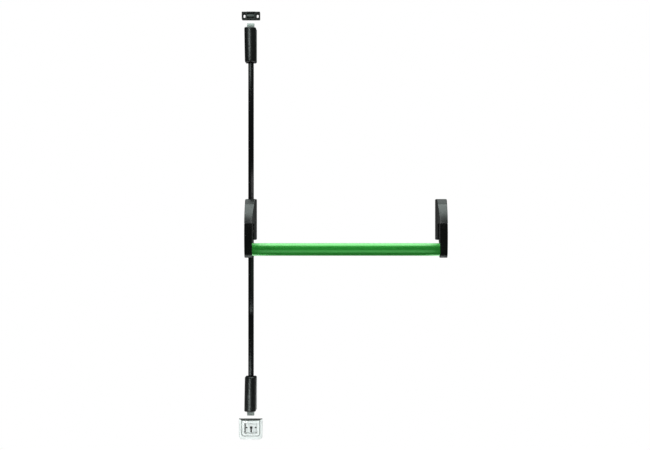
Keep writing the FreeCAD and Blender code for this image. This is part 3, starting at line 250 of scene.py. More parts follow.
def slab(
    name: str,
    outline: np.ndarray,
    half_width: Callable[[np.ndarray], np.ndarray],
    radius: float | np.ndarray,
    segments: int = 5,
) -> Piece:
    """A slab across x over a (depth, z) outline, with its rim rounded on both sides.

    At an angle t the ring is the outline drawn in by r (1 - sin t), and its x is the half width
    less r (1 - cos t). One more ring further in keeps the side faces flat.

    Args:
        name: Name of the piece.
        outline: Points of the side view.
        half_width: Half the slab's width at each depth.
        radius: Radius of the rim, one value or one for each point.
        segments: Steps of a rounded edge.

    Returns:
        The slab.
    """
    angles = np.linspace(0, math.pi / 2, segments + 1)
    drawn = [(inset(outline, radius + 0.4), 0.0 * np.asarray(radius))]
    drawn += [
        (inset(outline, radius * (1 - math.sin(t))), radius * (1 - math.cos(t))) for t in angles
    ]
    right = [lay(half_width(ring[:, 0]) - drop, ring[:, 0], ring[:, 1]) for ring, drop in drawn]
    left = [ring * np.array([-1, 1, 1]) for ring in right]
    return from_rings(name, np.stack(left + right[::-1]))


def plate(name: str, levels: Sequence[tuple[np.ndarray, float]], centre_x: float = 0.0) -> Piece:
    """A piece that lies on the door, from (x, z) outlines at rising depths."""
    rings = [lay(ring[:, 0] + centre_x, np.array(depth), ring[:, 1]) for ring, depth in levels]
    return from_rings(name, np.stack(rings))


def column(name: str, levels: Sequence[tuple[np.ndarray, float]]) -> Piece:
    """An upright piece from (x, depth) outlines at a run of heights."""
    rings = [lay(ring[:, 0], ring[:, 1], np.array(height)) for ring, height in levels]
    return from_rings(name, np.stack(rings))


def block(x_range: Point, depths: Point, heights: Point) -> Piece:
    """A plain box, used as a cutting tool."""
    ring = np.array([(x_range[0], depths[0]), (x_range[1], depths[0]), (x_range[1], depths[1]), (x_range[0], depths[1])])
    return column("tool", [(ring, heights[0]), (ring, heights[1])])


def turned(name: str, profile: Sequence[Point], place: Callable[..., np.ndarray], count: int = 48) -> Piece:
    """A turned piece: a (radius, along) profile carried round an axis.

    Args:
        name: Name of the piece.
        profile: Radius and place along the axis, from one end to the other.
        place: Gives points from two coordinates across the axis and one along it.
        count: Points round the axis.

    Returns:
        The piece.
    """
    angles = math.tau * np.arange(count) / count
    rings = [place(r * np.cos(angles), r * np.sin(angles), np.full(count, a)) for r, a in profile]
    return from_rings(name, np.stack(rings))


def wire(name: str, line: np.ndarray, radius: float, sides: int = 12) -> Piece:
    """A round wire along a line of points.

    Each ring is square to the line there, and its first direction is the last ring's, less the
    share of it that lies along the line.
    """
    along = np.gradient(line, axis=0)
    along /= np.linalg.norm(along, axis=1, keepdims=True)
    beside = np.cross(along[0], (0.31, 0.52, 0.79))
    rings = []
    for point, way in zip(line, along):
        beside = beside - way * beside.dot(way)
        beside /= np.linalg.norm(beside)
        above = np.cross(way, beside)
        angles = math.tau * np.arange(sides) / sides
        rings.append(point + radius * (np.outer(np.cos(angles), beside) + np.outer(np.sin(angles), above)))
    return from_rings(name, np.stack(rings))


def settle(piece: Piece) -> None:
    """Makes the result of a piece's modifiers its mesh."""
    bpy.context.view_layer.update()
    graph = bpy.context.evaluated_depsgraph_get()
    result = bpy.data.meshes.new_from_object(piece.evaluated_get(graph))
    former = piece.data
    piece.modifiers.clear()
    piece.data = result
    bpy.data.meshes.remove(former)


def carve(piece: Piece, how: Cut, *tools: Piece) -> Piece:
    """Cuts tools away from a piece, keeps it within them, or adds them to it.

    Args:
        piece: The piece to change.
        how: What the tools do.
        *tools: Pieces that are used up.

    Returns:
        The same piece.
    """
    for tool in tools:
        change = piece.modifiers.new("carve", "BOOLEAN")
        change.operation = how.value
        change.solver = "EXACT"
        change.object = tool
    settle(piece)
    for tool in tools:
        mesh = tool.data
        bpy.data.objects.remove(tool)
        bpy.data.meshes.remove(mesh)
    clean(piece.data)
    return piece


def ease(piece: Piece, width: float, segments: int = 2) -> Piece:
    """Rounds the sharp edges a little and shades flat faces flat.

    Args:
        piece: The piece.
        width: Width of the eased edge in millimetres, or 0 for none.
        segments: Steps of the edge.

    Returns:
        The same piece.
    """
    if width:
        bevel = piece.modifiers.new("edges", "BEVEL")
        bevel.width = width * METRE
        bevel.segments = segments
        bevel.limit_method = "ANGLE"
        bevel.angle_limit = math.radians(40)
        bevel.use_clamp_overlap = True
        settle(piece)
    piece.data.shade_smooth()
    piece.data.set_sharp_from_angle(angle=math.radians(38))
    weights = piece.modifiers.new("weights", "WEIGHTED_NORMAL")
    weights.keep_sharp = True
    return piece


# Finishes


class Nodes:
    """Adds nodes to a material's tree and joins them."""

    def __init__(self, name: str) -> None:
        """Starts a material with its shader and output."""
        self.material = bpy.data.materials.new(name)
        self.material.use_nodes = True
        self.tree = self.material.node_tree
        self.tree.nodes.clear()
        output = self.tree.nodes.new("ShaderNodeOutputMaterial")
        self.shader = self.tree.nodes.new("ShaderNodeBsdfPrincipled")
        self.tree.links.new(self.shader.outputs[0], output.inputs[0])
        self.place = self.tree.nodes.new("ShaderNodeTexCoord").outputs["Object"]

    def put(self, socket: bpy.types.NodeSocket, value: object) -> None:
        """Links a socket to an output, or sets it to a value."""
        if isinstance(value, bpy.types.NodeSocket):
            self.tree.links.new(value, socket)
        else:
            socket.default_value = value

    def add(self, kind: str, values: dict[int | str, object], **settings: object) -> bpy.types.Node:
        """Adds a node.

        Args:
            kind: The node's type.
            values: What goes into its sockets, by index or name.
            **settings: Its other properties.

        Returns:
            The node.
        """
        node = self.tree.nodes.new(kind)
        for name, value in settings.items():
            setattr(node, name, value)
        for key, value in values.items():
            self.put(node.inputs[key], value)
        return node

    def noise(self, size: float, detail: float = 3.0, stretch: Sequence[float] = (1, 1, 1)) -> bpy.types.NodeSocket:
        """A cloudy pattern whose spots are about size millimetres, drawn out along an axis."""
        scale = [1000 / (size * part) for part in stretch]
        spread = self.add("ShaderNodeMapping", {"Vector": self.place, "Scale": scale})
        cloud = self.add("ShaderNodeTexNoise", {"Vector": spread.outputs[0], "Scale": 1.0, "Detail": detail})
        return cloud.outputs[0]

    def cells(self, size: float) -> bpy.types.NodeSocket:
        """Distance to the nearest of scattered points about size millimetres apart."""
        spots = self.add("ShaderNodeTexVoronoi", {"Vector": self.place, "Scale": 1000 / size})
        return spots.outputs["Distance"]

    def between(self, value: bpy.types.NodeSocket, low: float, high: float) -> bpy.types.NodeSocket:
        """The pattern's middle range spread from low to high."""
        spread = {"Value": value, "From Min": 0.3, "From Max": 0.7, "To Min": low, "To Max": high}
        return self.add("ShaderNodeMapRange", spread).outputs[0]

    def mix(self, part: bpy.types.NodeSocket, first: object, second: object) -> bpy.types.NodeSocket:
        """A blend of two colours."""
        return self.add("ShaderNodeMix", {0: part, 6: first, 7: second}, data_type="RGBA").outputs[2]

    def bump(self, height: bpy.types.NodeSocket, depth: float, below: object = None) -> bpy.types.NodeSocket:
        """Relief of a pattern, depth millimetres high, on top of another relief."""
        values = {"Strength": 1.0, "Distance": depth * METRE, "Height": height}
        if below is not None:
            values["Normal"] = below
        return self.add("ShaderNodeBump", values).outputs[0]


@dataclass(frozen=True)
class Finish:
    """A finish with soft changes of tone and shine, and a fine relief."""

    name: str
    colour: tuple[float, float, float]
    roughness: float
    metallic: float = 0.0
    specular: float = 0.5
    tone: float = 0.10
    patch: float = 25.0
    shine: float = 0.06
    grain: float = 0.5
    relief: float = 0.006
    stretch: tuple[float, float, float] = (1, 1, 1)

    def material(self) -> bpy.types.Material:
        """The finish as a material."""
        nodes = Nodes(self.name)
        cloud = nodes.noise(self.patch)
        grain = nodes.noise(self.grain, 2.0, self.stretch)
        dark = [part * (1 - self.tone) for part in self.colour] + [1.0]
        light = [min(part * (1 + self.tone), 1.0) for part in self.colour] + [1.0]
        nodes.put(nodes.shader.inputs["Base Color"], self.tint(nodes, nodes.mix(cloud, dark, light), grain))
        scuffs = nodes.noise(self.patch / 3, 5.0)
        shine = nodes.between(scuffs, self.roughness - self.shine, self.roughness + self.shine)
        nodes.put(nodes.shader.inputs["Roughness"], shine)
        nodes.put(nodes.shader.inputs["Normal"], self.surface(nodes, grain))
        nodes.shader.inputs["Metallic"].default_value = self.metallic
        nodes.shader.inputs["Specular IOR Level"].default_value = self.specular
        self.gloss(nodes)
        return nodes.material

    def tint(self, nodes: Nodes, base: bpy.types.NodeSocket, grain: bpy.types.NodeSocket) -> bpy.types.NodeSocket:
        """The colour, from the base tone and the grain."""
        return base

    def surface(self, nodes: Nodes, grain: bpy.types.NodeSocket) -> bpy.types.NodeSocket:
        """The relief, from the grain."""
        return nodes.bump(grain, self.relief)

    def gloss(self, nodes: Nodes) -> None:
        """Sets what else the shader shows."""


@dataclass(frozen=True)
class MouldedPlastic(Finish):
    """Plastic with the fine pitting of a spark-eroded mould."""

    pit: float = 0.35

    def surface(self, nodes: Nodes, grain: bpy.types.NodeSocket) -> bpy.types.NodeSocket:
        """Small pits with a softer swell below them."""
        swell = nodes.bump(nodes.noise(9.0, 1.0), self.relief * 1.5)
        return nodes.bump(nodes.cells(self.pit), self.relief, swell)


@dataclass(frozen=True)
class Enamel(Finish):
    """Glossy paint on metal, with the soft ripple of a sprayed coat."""

    coat: float = 1.0
    coat_roughness: float = 0.18
    coat_ior: float = 1.7

    def surface(self, nodes: Nodes, grain: bpy.types.NodeSocket) -> bpy.types.NodeSocket:
        """A ripple a few millimetres across."""
        return nodes.bump(nodes.noise(2.6, 2.0, self.stretch), self.relief)

    def gloss(self, nodes: Nodes) -> None:
        """A clear coat over the paint."""
        nodes.shader.inputs["Coat Weight"].default_value = self.coat
        nodes.shader.inputs["Coat Roughness"].default_value = self.coat_roughness
        nodes.shader.inputs["Coat IOR"].default_value = self.coat_ior


@dataclass(frozen=True)
class PlatedSteel(Finish):
    """Plated steel, whose thin film shifts in tint from spot to spot."""

    film: tuple[float, float, float] = (0.62, 0.60, 0.50)

    def tint(self, nodes: Nodes, base: bpy.types.NodeSocket, grain: bpy.types.NodeSocket) -> bpy.types.NodeSocket:
        """Patches of the film over the metal."""
        part = nodes.between(nodes.noise(14.0, 4.0), 0.0, 0.55)
        return nodes.mix(part, base, [*self.film, 1.0])


@dataclass(frozen=True)
class CastMetal(Finish):
    """Die-cast metal with a sandy skin and dull mottling."""

    mottle: tuple[float, float, float] = (0.14, 0.16, 0.15)

    def tint(self, nodes: Nodes, base: bpy.types.NodeSocket, grain: bpy.types.NodeSocket) -> bpy.types.NodeSocket:
        """Dull spots a few millimetres wide."""
        part = nodes.between(nodes.noise(3.5, 4.0), 0.0, 0.7)
        return nodes.mix(part, base, [*self.mottle, 1.0])


@dataclass(frozen=True)
class SinteredMetal(Finish):
    """Pressed powder metal with open pores."""

    pore: float = 0.4

    def tint(self, nodes: Nodes, base: bpy.types.NodeSocket, grain: bpy.types.NodeSocket) -> bpy.types.NodeSocket:
        """Dark pores between bright grains."""
        dark = [part * 0.35 for part in self.colour] + [1.0]
        return nodes.mix(nodes.between(nodes.cells(self.pore), 0.0, 1.0), dark, base)


SATIN_COVER = MouldedPlastic("satin moulded end cover", (0.002, 0.0026, 0.0024), 0.37, specular=0.5)
STRIKE_PAINT = MouldedPlastic("black strike paint", (0.018, 0.020, 0.019), 0.48, specular=0.4, pit=0.6)
DULL_ROLLER = CastMetal("dull steel roller", (0.11, 0.125, 0.12), 0.5, metallic=0.5, mottle=(0.05, 0.06, 0.055))
ALONG_BAR = (40.0, 1.0, 1.0)
ALONG_ROD = (1.0, 1.0, 40.0)

FINISHES: dict[Slot, Finish] = {
    Slot.CASING: MouldedPlastic("black moulded casing", (0.003, 0.0034, 0.0032), 0.27, specular=0.2),
    Slot.CAP: MouldedPlastic("satin moulded cap", (0.006, 0.0075, 0.0070), 0.32, specular=0.5),
    Slot.BAR: Enamel("green enamel", (0.008, 0.30, 0.018), 0.33, metallic=0.5, patch=60, relief=0.0008, stretch=ALONG_BAR),
    Slot.PLUG: MouldedPlastic("black nylon plug", (0.03, 0.03, 0.03), 0.5),
    Slot.ZINC: PlatedSteel("zinc plated steel", (0.62, 0.63, 0.64), 0.36, metallic=1.0),
    Slot.BLACKENED: PlatedSteel("black oxide steel", (0.03, 0.03, 0.032), 0.42, metallic=0.6, film=(0.05, 0.045, 0.04)),
    Slot.CAST: CastMetal("die-cast zinc", (0.26, 0.29, 0.275), 0.45, metallic=0.4, grain=0.6, relief=0.02),
    Slot.BRIGHT: Finish("ground steel", (0.66, 0.67, 0.68), 0.26, metallic=1.0, grain=0.4, stretch=ALONG_ROD),
    Slot.SPRING: Finish("drawn spring wire", (0.36, 0.36, 0.38), 0.32, metallic=1.0, grain=0.3),
    Slot.COVER: MouldedPlastic("black powder coat", (0.004, 0.0045, 0.0045), 0.28, specular=0.2, pit=0.6),
    Slot.BRONZE: SinteredMetal("sintered bronze", (0.50, 0.34, 0.17), 0.48, metallic=0.9),
    Slot.RUBBER: MouldedPlastic("black rubber", (0.02, 0.02, 0.02), 0.8, specular=0.3),
    Slot.NYLON: MouldedPlastic("natural nylon", (0.72, 0.72, 0.68), 0.5, tone=0.05),
    Slot.FLOOR_PLATE: Finish("satin stainless plate", (0.92, 0.93, 0.93), 0.42, metallic=0.12, tone=0.03, stretch=ALONG_BAR),
}


class Finisher:
    """Keeps one material for each slot and dresses pieces with it."""

    def __init__(self) -> None:
        """Makes every finish once."""
        self.materials = {finish: finish.material() for finish in (*FINISHES.values(), SATIN_COVER, STRIKE_PAINT, DULL_ROLLER)}

    def dress(self, piece: Piece, finish: Finish) -> None:
        """Gives a piece a finish."""
        piece.data.materials.clear()
        piece.data.materials.append(self.materials[finish])

    def set_in_frame(
        self, piece: Piece, nodes: Sequence[str], body: str, slot: Slot, finish: Finish | None = None
    ) -> None:
        """Puts a finished piece into the frame.

        Args:
            piece: The piece.
            nodes: The CAD nodes that it stands for.
            body: The body that it rides on.
            slot: Its slot in the record.
            finish: Its finish, where that isn't the slot's own.
        """
        self.dress(piece, finish or FINISHES[slot])
        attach(piece, body)
        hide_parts(*nodes)
        log.info("%s stands for %s on %s", piece.name, ", ".join(nodes), body)

    def dress_faces(self, name: str, slot: Slot, chosen: Callable[[np.ndarray, np.ndarray], np.ndarray]) -> None:
        """Gives some faces of a piece another finish.

        Args:
            name: Name of the piece.
            slot: The slot whose finish they get.
            chosen: Says which faces, from their centres in millimetres and their normals.
        """
        mesh = bpy.data.objects[name].data
        mesh.materials.append(self.materials[FINISHES[slot]])
        count = len(mesh.polygons)
        centre, normal = np.empty(count * 3, np.float32), np.empty(count * 3, np.float32)
        index = np.empty(count, np.int32)
        mesh.polygons.foreach_get("center", centre)
        mesh.polygons.foreach_get("normal", normal)
        mesh.polygons.foreach_get("material_index", index)
        faces = chosen(centre.reshape(-1, 3) / METRE, normal.reshape(-1, 3))
        index[faces] = len(mesh.materials) - 1
        mesh.polygons.foreach_set("material_index", index)

    def dress_frame(self) -> None:
        """Gives every CAD node that still shows the finish of its slot."""
        for part in frame["record"]["subparts"]:
            node = frame["nodes"][part["node"]]
            if not node.hide_render:
                self.dress(node, FINISHES[Slot(part["material_slot"])])
                log.info("%s keeps its CAD surface", node.name)


# Sub-assemblies


@dataclass
class CasingForm:
    """The outside of a casing, which housing and cap share."""

    half_width: float = 18.5
    draft: float = 0.062
    top: float = 66.0
    foot: float = -66.0
    top_slope: float = math.radians(3.0)
    front: Point = (98.0, -14.0)
    brow: Point = (58.0, 43.0)
    front_radius: float = 168.0
    shoulder_radius: float = 8.0
    crown_round: float = 3.2
    edge_round: float = 1.8
    arch: float = 1.8
    arch_start: float = 50.0

    def __post_init__(self) -> None:
        """Finds the centres of the front arc and of the shoulder arc."""
        self.front_centre = circle_centre(self.front, self.brow, self.front_radius)
        normal = (math.sin(self.top_slope), math.cos(self.top_slope))
        along = (normal[1], -normal[0])
        start = (
            -self.shoulder_radius * normal[0] - self.front_centre[0],
            self.top - self.shoulder_radius * normal[1] - self.front_centre[1],
        )
        across = start[0] * along[0] + start[1] * along[1]
        room = (self.front_radius - self.shoulder_radius) ** 2 - start[0] ** 2 - start[1] ** 2
        run = math.sqrt(across**2 + room) - across
        self.shoulder = (
            self.front_centre[0] + start[0] + run * along[0],
            self.front_centre[1] + start[1] + run * along[1],
        )

    def width_at(self, drawn: float) -> Callable[[np.ndarray], np.ndarray]:
        """Half the width at each depth, drawn in."""
        return lambda depth: self.half_width - self.draft * depth - drawn

    def front_at(self, z: float, drawn: float = 0.0) -> float:
        """Depth of the front arc at a height."""
        return self.front_centre[0] + math.sqrt((self.front_radius - drawn) ** 2 - (z - self.front_centre[1]) ** 2)

    def arched(self, piece: Piece) -> Piece:
        """Raises the top towards its middle.

        A point rises by the arch times its share of the way up from arch_start to the top, times
        one less the square of its share of the half width.
        """
        mesh = piece.data
        points = np.empty(len(mesh.vertices) * 3, np.float32)
        mesh.vertices.foreach_get("co", points)
        points = points.reshape(-1, 3)
        up = np.clip((points[:, 2] / METRE - self.arch_start) / (self.top - self.arch_start), 0, 1)
        out = np.clip(points[:, 0] / (METRE * self.half_width), -1, 1)
        points[:, 2] += self.arch * METRE * up * (1 - out**2)
        mesh.vertices.foreach_set("co", points.ravel())
        return piece

    def solid(self, name: str, drawn: float, back: float, foot: float) -> Piece:
        """The casing's form drawn in, from a depth to the front and from a height upwards.

        Its upper edges are rounded by crown_round, and the radius falls to edge_round as the
        outline turns from the top over the shoulder to the front.
        """
        top_angle = math.pi / 2 - self.top_slope
        shoulder, front = self.shoulder_radius - drawn, self.front_radius - drawn
        turn = math.atan2(self.shoulder[1] - self.front_centre[1], self.shoulder[0] - self.front_centre[0])
        top_end = on_circle(self.shoulder, shoulder, top_angle)
        foot_point = (self.front_at(foot, drawn), foot)
        foot_angle = math.atan2(foot - self.front_centre[1], foot_point[0] - self.front_centre[0])
        outline = trace(
            [
                (back, top_end[1] + (top_end[0] - back) * math.tan(self.top_slope)),
                top_end,
                (on_circle(self.shoulder, shoulder, (top_angle + turn) / 2), on_circle(self.shoulder, shoulder, turn)),
                (on_circle(self.front_centre, front, (turn + foot_angle) / 2), foot_point),
                (back, foot),
            ],
            20,
        )
        rise = np.clip((outline[:, 1] - self.brow[1]) / (top_end[1] - self.brow[1]), 0, 1)
        radius = self.edge_round + (self.crown_round - self.edge_round) * rise**2 * (3 - 2 * rise)
        return slab(name, outline, self.width_at(drawn), np.maximum(radius - drawn / 2, 0.6), 6)


@dataclass
class Casing:
    """One end of the device: housing, cap and lever."""

    name: str
    x: float
    inward: int
    with_rods: bool
    form: CasingForm
    split: float = 52.0
    seam: float = -14.0
    wall: float = 2.3
    sill: float = 14.5
    foot_round: float = 4.0
    rod_hole: float = 4.6
    rod_depth: float = 8.5

    def build(self, finisher: Finisher) -> None:
        """Builds and dresses the housing, the cap and the lever."""
        housing, cap = self.housing(), self.cap()
        lever = Lever(self.form, self.inward).build(f"{self.name}_lever_shell")
        for piece in (housing, cap, lever):
            piece.data.transform(shift_x(self.x))
        finisher.set_in_frame(housing, [f"{self.name}_housing"], "root", Slot.CASING)
        finisher.set_in_frame(cap, [f"{self.name}_cap"], "root", Slot.CAP)
        finisher.set_in_frame(lever, [f"{self.name}_lever"], "push_bar", Slot.CASING)

    def housing(self) -> Piece:
        """The tray against the door, with rounded corners and its foot open to the lever."""
        form = self.form
        piece = form.solid(f"{self.name}_housing_shell", 0.0, -8.0, form.foot - 12)
        reach = form.half_width
        outline = rounded_rectangle((-reach, form.foot), (reach, form.top + 20), self.foot_round, 1.0)
        carve(piece, Cut.WITHIN, plate("tool", [(outline, 0.0), (outline, self.split)]))
        hollow = form.solid("tool", self.wall, -12.0, form.foot + self.wall)
        mouth = form.solid("tool", self.wall, self.sill, form.foot - 9)
        carve(piece, Cut.AWAY, hollow, mouth)
        if self.with_rods:
            carve(piece, Cut.AWAY, upright(self.rod_hole, (form.foot - 5, form.top + 9), self.rod_depth))
        return form.arched(ease(piece, 0.4))

    def cap(self) -> Piece:
        """The fixed cover over the upper half."""
        form = self.form
        piece = form.solid(f"{self.name}_cap_shell", 0.0, 0.0, self.seam - 20)
        carve(piece, Cut.WITHIN, block((-30, 30), (self.split, 130), (self.seam, 90)))
        carve(piece, Cut.AWAY, form.solid("tool", self.wall, -5.0, self.seam - 15))
        return form.arched(ease(piece, 0.35))


def shift_x(x: float) -> "Matrix":
    """The matrix that moves a mesh along x."""
    from mathutils import Matrix

    return Matrix.Translation((x * METRE, 0, 0))


def upright(radius: float, heights: Point, depth: float, x: float = 0.0) -> Piece:
    """An upright cylinder, used as a tool or added to a piece."""
    return turned("tool", [(radius, heights[0]), (radius, heights[1])], lambda a, b, z: lay(x + a, depth + b, z), 32)


def across(radius: float, x_range: Point, depth: float, z: float) -> Piece:
    """A cylinder along x."""
    return turned("tool", [(radius, x_range[0]), (radius, x_range[1])], lambda a, b, x: lay(x, depth + a, z + b), 32)


def forward(radius: float, depths: Point, x: float, z: float) -> Piece:
    """A cylinder along the depth."""
    return turned("tool", [(radius, depths[0]), (radius, depths[1])], lambda a, b, d: lay(x + a, d, z + b), 32)


@dataclass
class Lever:
    """A lever that carries one end of the bar."""

    casing: CasingForm
    inward: int
    half_width: float = 12.3
    wall: float = 2.4
    top: float = -15.0
    rear_top: float = 47.0
    front_radius: float = 263.0
    chin: Point = (97.5, -100.0)
    toe: Point = (86.0, -122.0)
    rear: float = 72.35
    edge_round: float = 1.9
    pivot: Point = (60.0, 22.0)
    hub: float = 9.0
    arm: Point = (8.8, 11.2)
    socket_floor: float = -73.5
    skirt: Point = (3.2, 5.0)

    def front_at(self, z: float, drawn: float = 0.0) -> float:
        """Depth of the long front arc at a height."""
        return self.centre[0] + math.sqrt((self.front_radius - drawn) ** 2 - (z - self.centre[1]) ** 2)

    def build(self, name: str) -> Piece:
        """The lever's shell, with its arms, skirt, socket and screw hole."""
        nose = (self.casing.front_at(self.top), self.top)
        self.centre = circle_centre(self.chin, nose, self.front_radius)
        level = -96.0
        heel = (self.rear_top + 4.0, level + 34.0)
        waist = (62.0, level + 19.5)
        calf = (self.rear - 0.4, level + 8.0)
        middle = (self.top + self.chin[1]) / 2
        bulge = ((self.chin[0] + self.toe[0]) / 2 + 2.2, (self.chin[1] + self.toe[1]) / 2 - 1.6)
        outline = trace(
            [
                (self.rear_top, self.top),
                nose,
                ((self.front_at(middle), middle), self.chin),
                (bulge, self.toe),
                (self.rear + 7.0, self.toe[1]),
                ((self.rear + 2.1, self.toe[1] + 2.3), (self.rear + 0.8, self.toe[1] + 8.0)),
                calf,
                ((calf[0] - 2.6, calf[1] + 7.6), waist),
                ((heel[0] + 3.6, heel[1] - 9.2), heel),
            ],
            16,
        )
        radius = np.where(outline[:, 1] > self.top - 0.5, 0.5, self.edge_round)
        piece = slab(name, outline, lambda depth: self.half_width + 0 * depth, radius, 5)
        top = self.top - self.wall
        lower = (top + self.socket_floor) / 2
        hollow = trace(
            [
                (0.0, top),
                (self.front_at(top, self.wall), top),
                (
                    (self.front_at(lower, self.wall), lower),
                    (self.front_at(self.socket_floor, self.wall), self.socket_floor),
                ),
                (waist[0] + 3.6, self.socket_floor),
                (heel[0] + 6.4, heel[1] - 7.0),
                (heel[0] + 2.4, heel[1]),
                (0.0, heel[1]),
            ],
            12,
        )
        inner = self.half_width - self.wall
        carve(piece, Cut.AWAY, slab("tool", hollow, lambda depth: inner + 0 * depth, 0.8, 2))
        carve(piece, Cut.ADD, *self.arms())
        carve(piece, Cut.ADD, self.skirt_shell())
        reach = (-inner, self.half_width + 5)
        if self.inward < 0:
            reach = (-reach[1], -reach[0])
        carve(
            piece,
            Cut.AWAY,
            Bar().prism("tool", -0.15, reach),
            forward(3.05, (self.rear - 4, 86.5), 0.0, level),
            block((-20, 20), (56.47, 63.53), (18.47, 25.53)),
        )
        return ease(piece, 0.3)

    def arms(self) -> list[Piece]:
        """The two arms round the spindle."""
        depth, z = self.pivot
        path = [
            (self.rear_top + 3, self.top - 25),
            (depth - self.hub, z),
            ((depth, z + self.hub), (depth + self.hub, z)),
            (depth + 16, self.top),
            (depth + 16, self.top - 25),
        ]
        pieces = []
        for side in (-1, 1):
            arm = slab("tool", trace(path, 20), lambda depth: 1.2 + 0 * depth, 0.3, 2)
            arm.data.transform(shift_x(side * sum(self.arm) / 2))
            pieces.append(arm)
        return pieces

    def skirt_shell(self) -> Piece:
        """The wall above the lever that stays behind the cap as the lever swings."""
        low = self.top - self.wall + 0.5
        shell = self.casing.solid("skirt", self.skirt[0], 0.0, low - 5)
        carve(shell, Cut.AWAY, self.casing.solid("tool", self.skirt[1], -5.0, low - 9))
        return carve(shell, Cut.WITHIN, block((-30, 30), (76.0, 130.0), (low, self.top + 17)))


@dataclass
class Bar:
    """The oval push bar."""

    height: float = 40.0
    thickness: float = 20.0
    wall: float = 2.0
    end_radius: float = 6.5
    depth: float = 86.5
    level: float = -96.0
    start: float = -9.6

    def section(self, drawn: float, per_arc: int = 24) -> np.ndarray:
        """The (depth, z) section drawn in: two flat arcs that run smoothly into two tight ones."""
        rise = self.height / 2 - self.end_radius
        half = self.thickness / 2
        side = (half**2 + rise**2 - self.end_radius**2) / (2 * (half - self.end_radius))
        lean = math.atan2(rise, side - half)
        join = ((side - drawn) * math.cos(lean) - side + half, (side - drawn) * math.sin(lean))
        tall, thick = self.height / 2 - drawn, half - drawn
        points = trace(
            [
                (-join[0], -join[1]),
                ((0.0, -tall), (join[0], -join[1])),
                ((thick, 0.0), (join[0], join[1])),
                ((0.0, tall), (-join[0], join[1])),
                ((-thick, 0.0), (-join[0], -join[1])),
            ],
            per_arc,
        )[:-1]
        return points + np.array([self.depth, self.level])

    def prism(self, name: str, drawn: float, x_range: Point) -> Piece:
        """A solid of the section along x."""
        ring = self.section(drawn)
        return from_rings(name, np.stack([lay(np.array(x), ring[:, 0], ring[:, 1]) for x in x_range]))

    def build(self, finisher: Finisher) -> None:
        """The tube, skinned over its outside and back through its bore."""
        outer, inner = self.section(0.0), self.section(self.wall)
        end = CASING_SPAN - self.start
        places = np.linspace(self.start, end, 25)
        rings = [lay(np.array(x), outer[:, 0], outer[:, 1]) for x in places]
        rings += [lay(np.array(x), inner[:, 0], inner[:, 1]) for x in (end, self.start)]
        tube = from_rings("push_bar_shell", np.stack(rings), Ends.JOINED)
        finisher.set_in_frame(ease(tube, 0.0), ["push_bar_tube"], "push_bar", Slot.BAR)


@dataclass
class RodCover:
    """The channel over one rod, for the upper side, or mirrored for the lower side."""

    name: str
    sign: int
    half_width: float = 8.5
    depth: float = 14.5
    crown: float = 0.7
    corner: float = 2.6
    wall: float = 1.4
    start: float = 66.0
    end: float = 507.0

    def build(self, finisher: Finisher) -> None:
        """Builds the channel with a slightly crowned front."""
        half, shoulder = self.half_width, self.depth - self.crown
        part = 1 - math.sqrt(0.5)
        inner = half - self.wall
        path = [
            (half, 0.0),
            (half, shoulder - self.corner),
            ((half - self.corner * part, shoulder - self.corner * part), (half - self.corner, shoulder)),
            ((0.0, self.depth), (self.corner - half, shoulder)),
            ((self.corner * part - half, shoulder - self.corner * part), (-half, shoulder - self.corner)),
            (-half, 0.0),
            (-inner, 0.0),
            (-inner, shoulder - 2.2),
            (1.5 - inner, shoulder - 1.1),
            (-3.0, self.depth - self.wall),
            (3.0, self.depth - self.wall),
            (inner - 1.5, shoulder - 1.1),
            (inner, shoulder - 2.2),
            (inner, 0.0),
        ]
        ring = trace(path, 10)
        heights = np.linspace(self.start, self.end, 9) * self.sign
        piece = column(f"{self.name}_rod_channel", [(ring, z) for z in heights])
        finisher.set_in_frame(ease(piece, 0.0), [f"{self.name}_rod_cover"], "root", Slot.COVER)


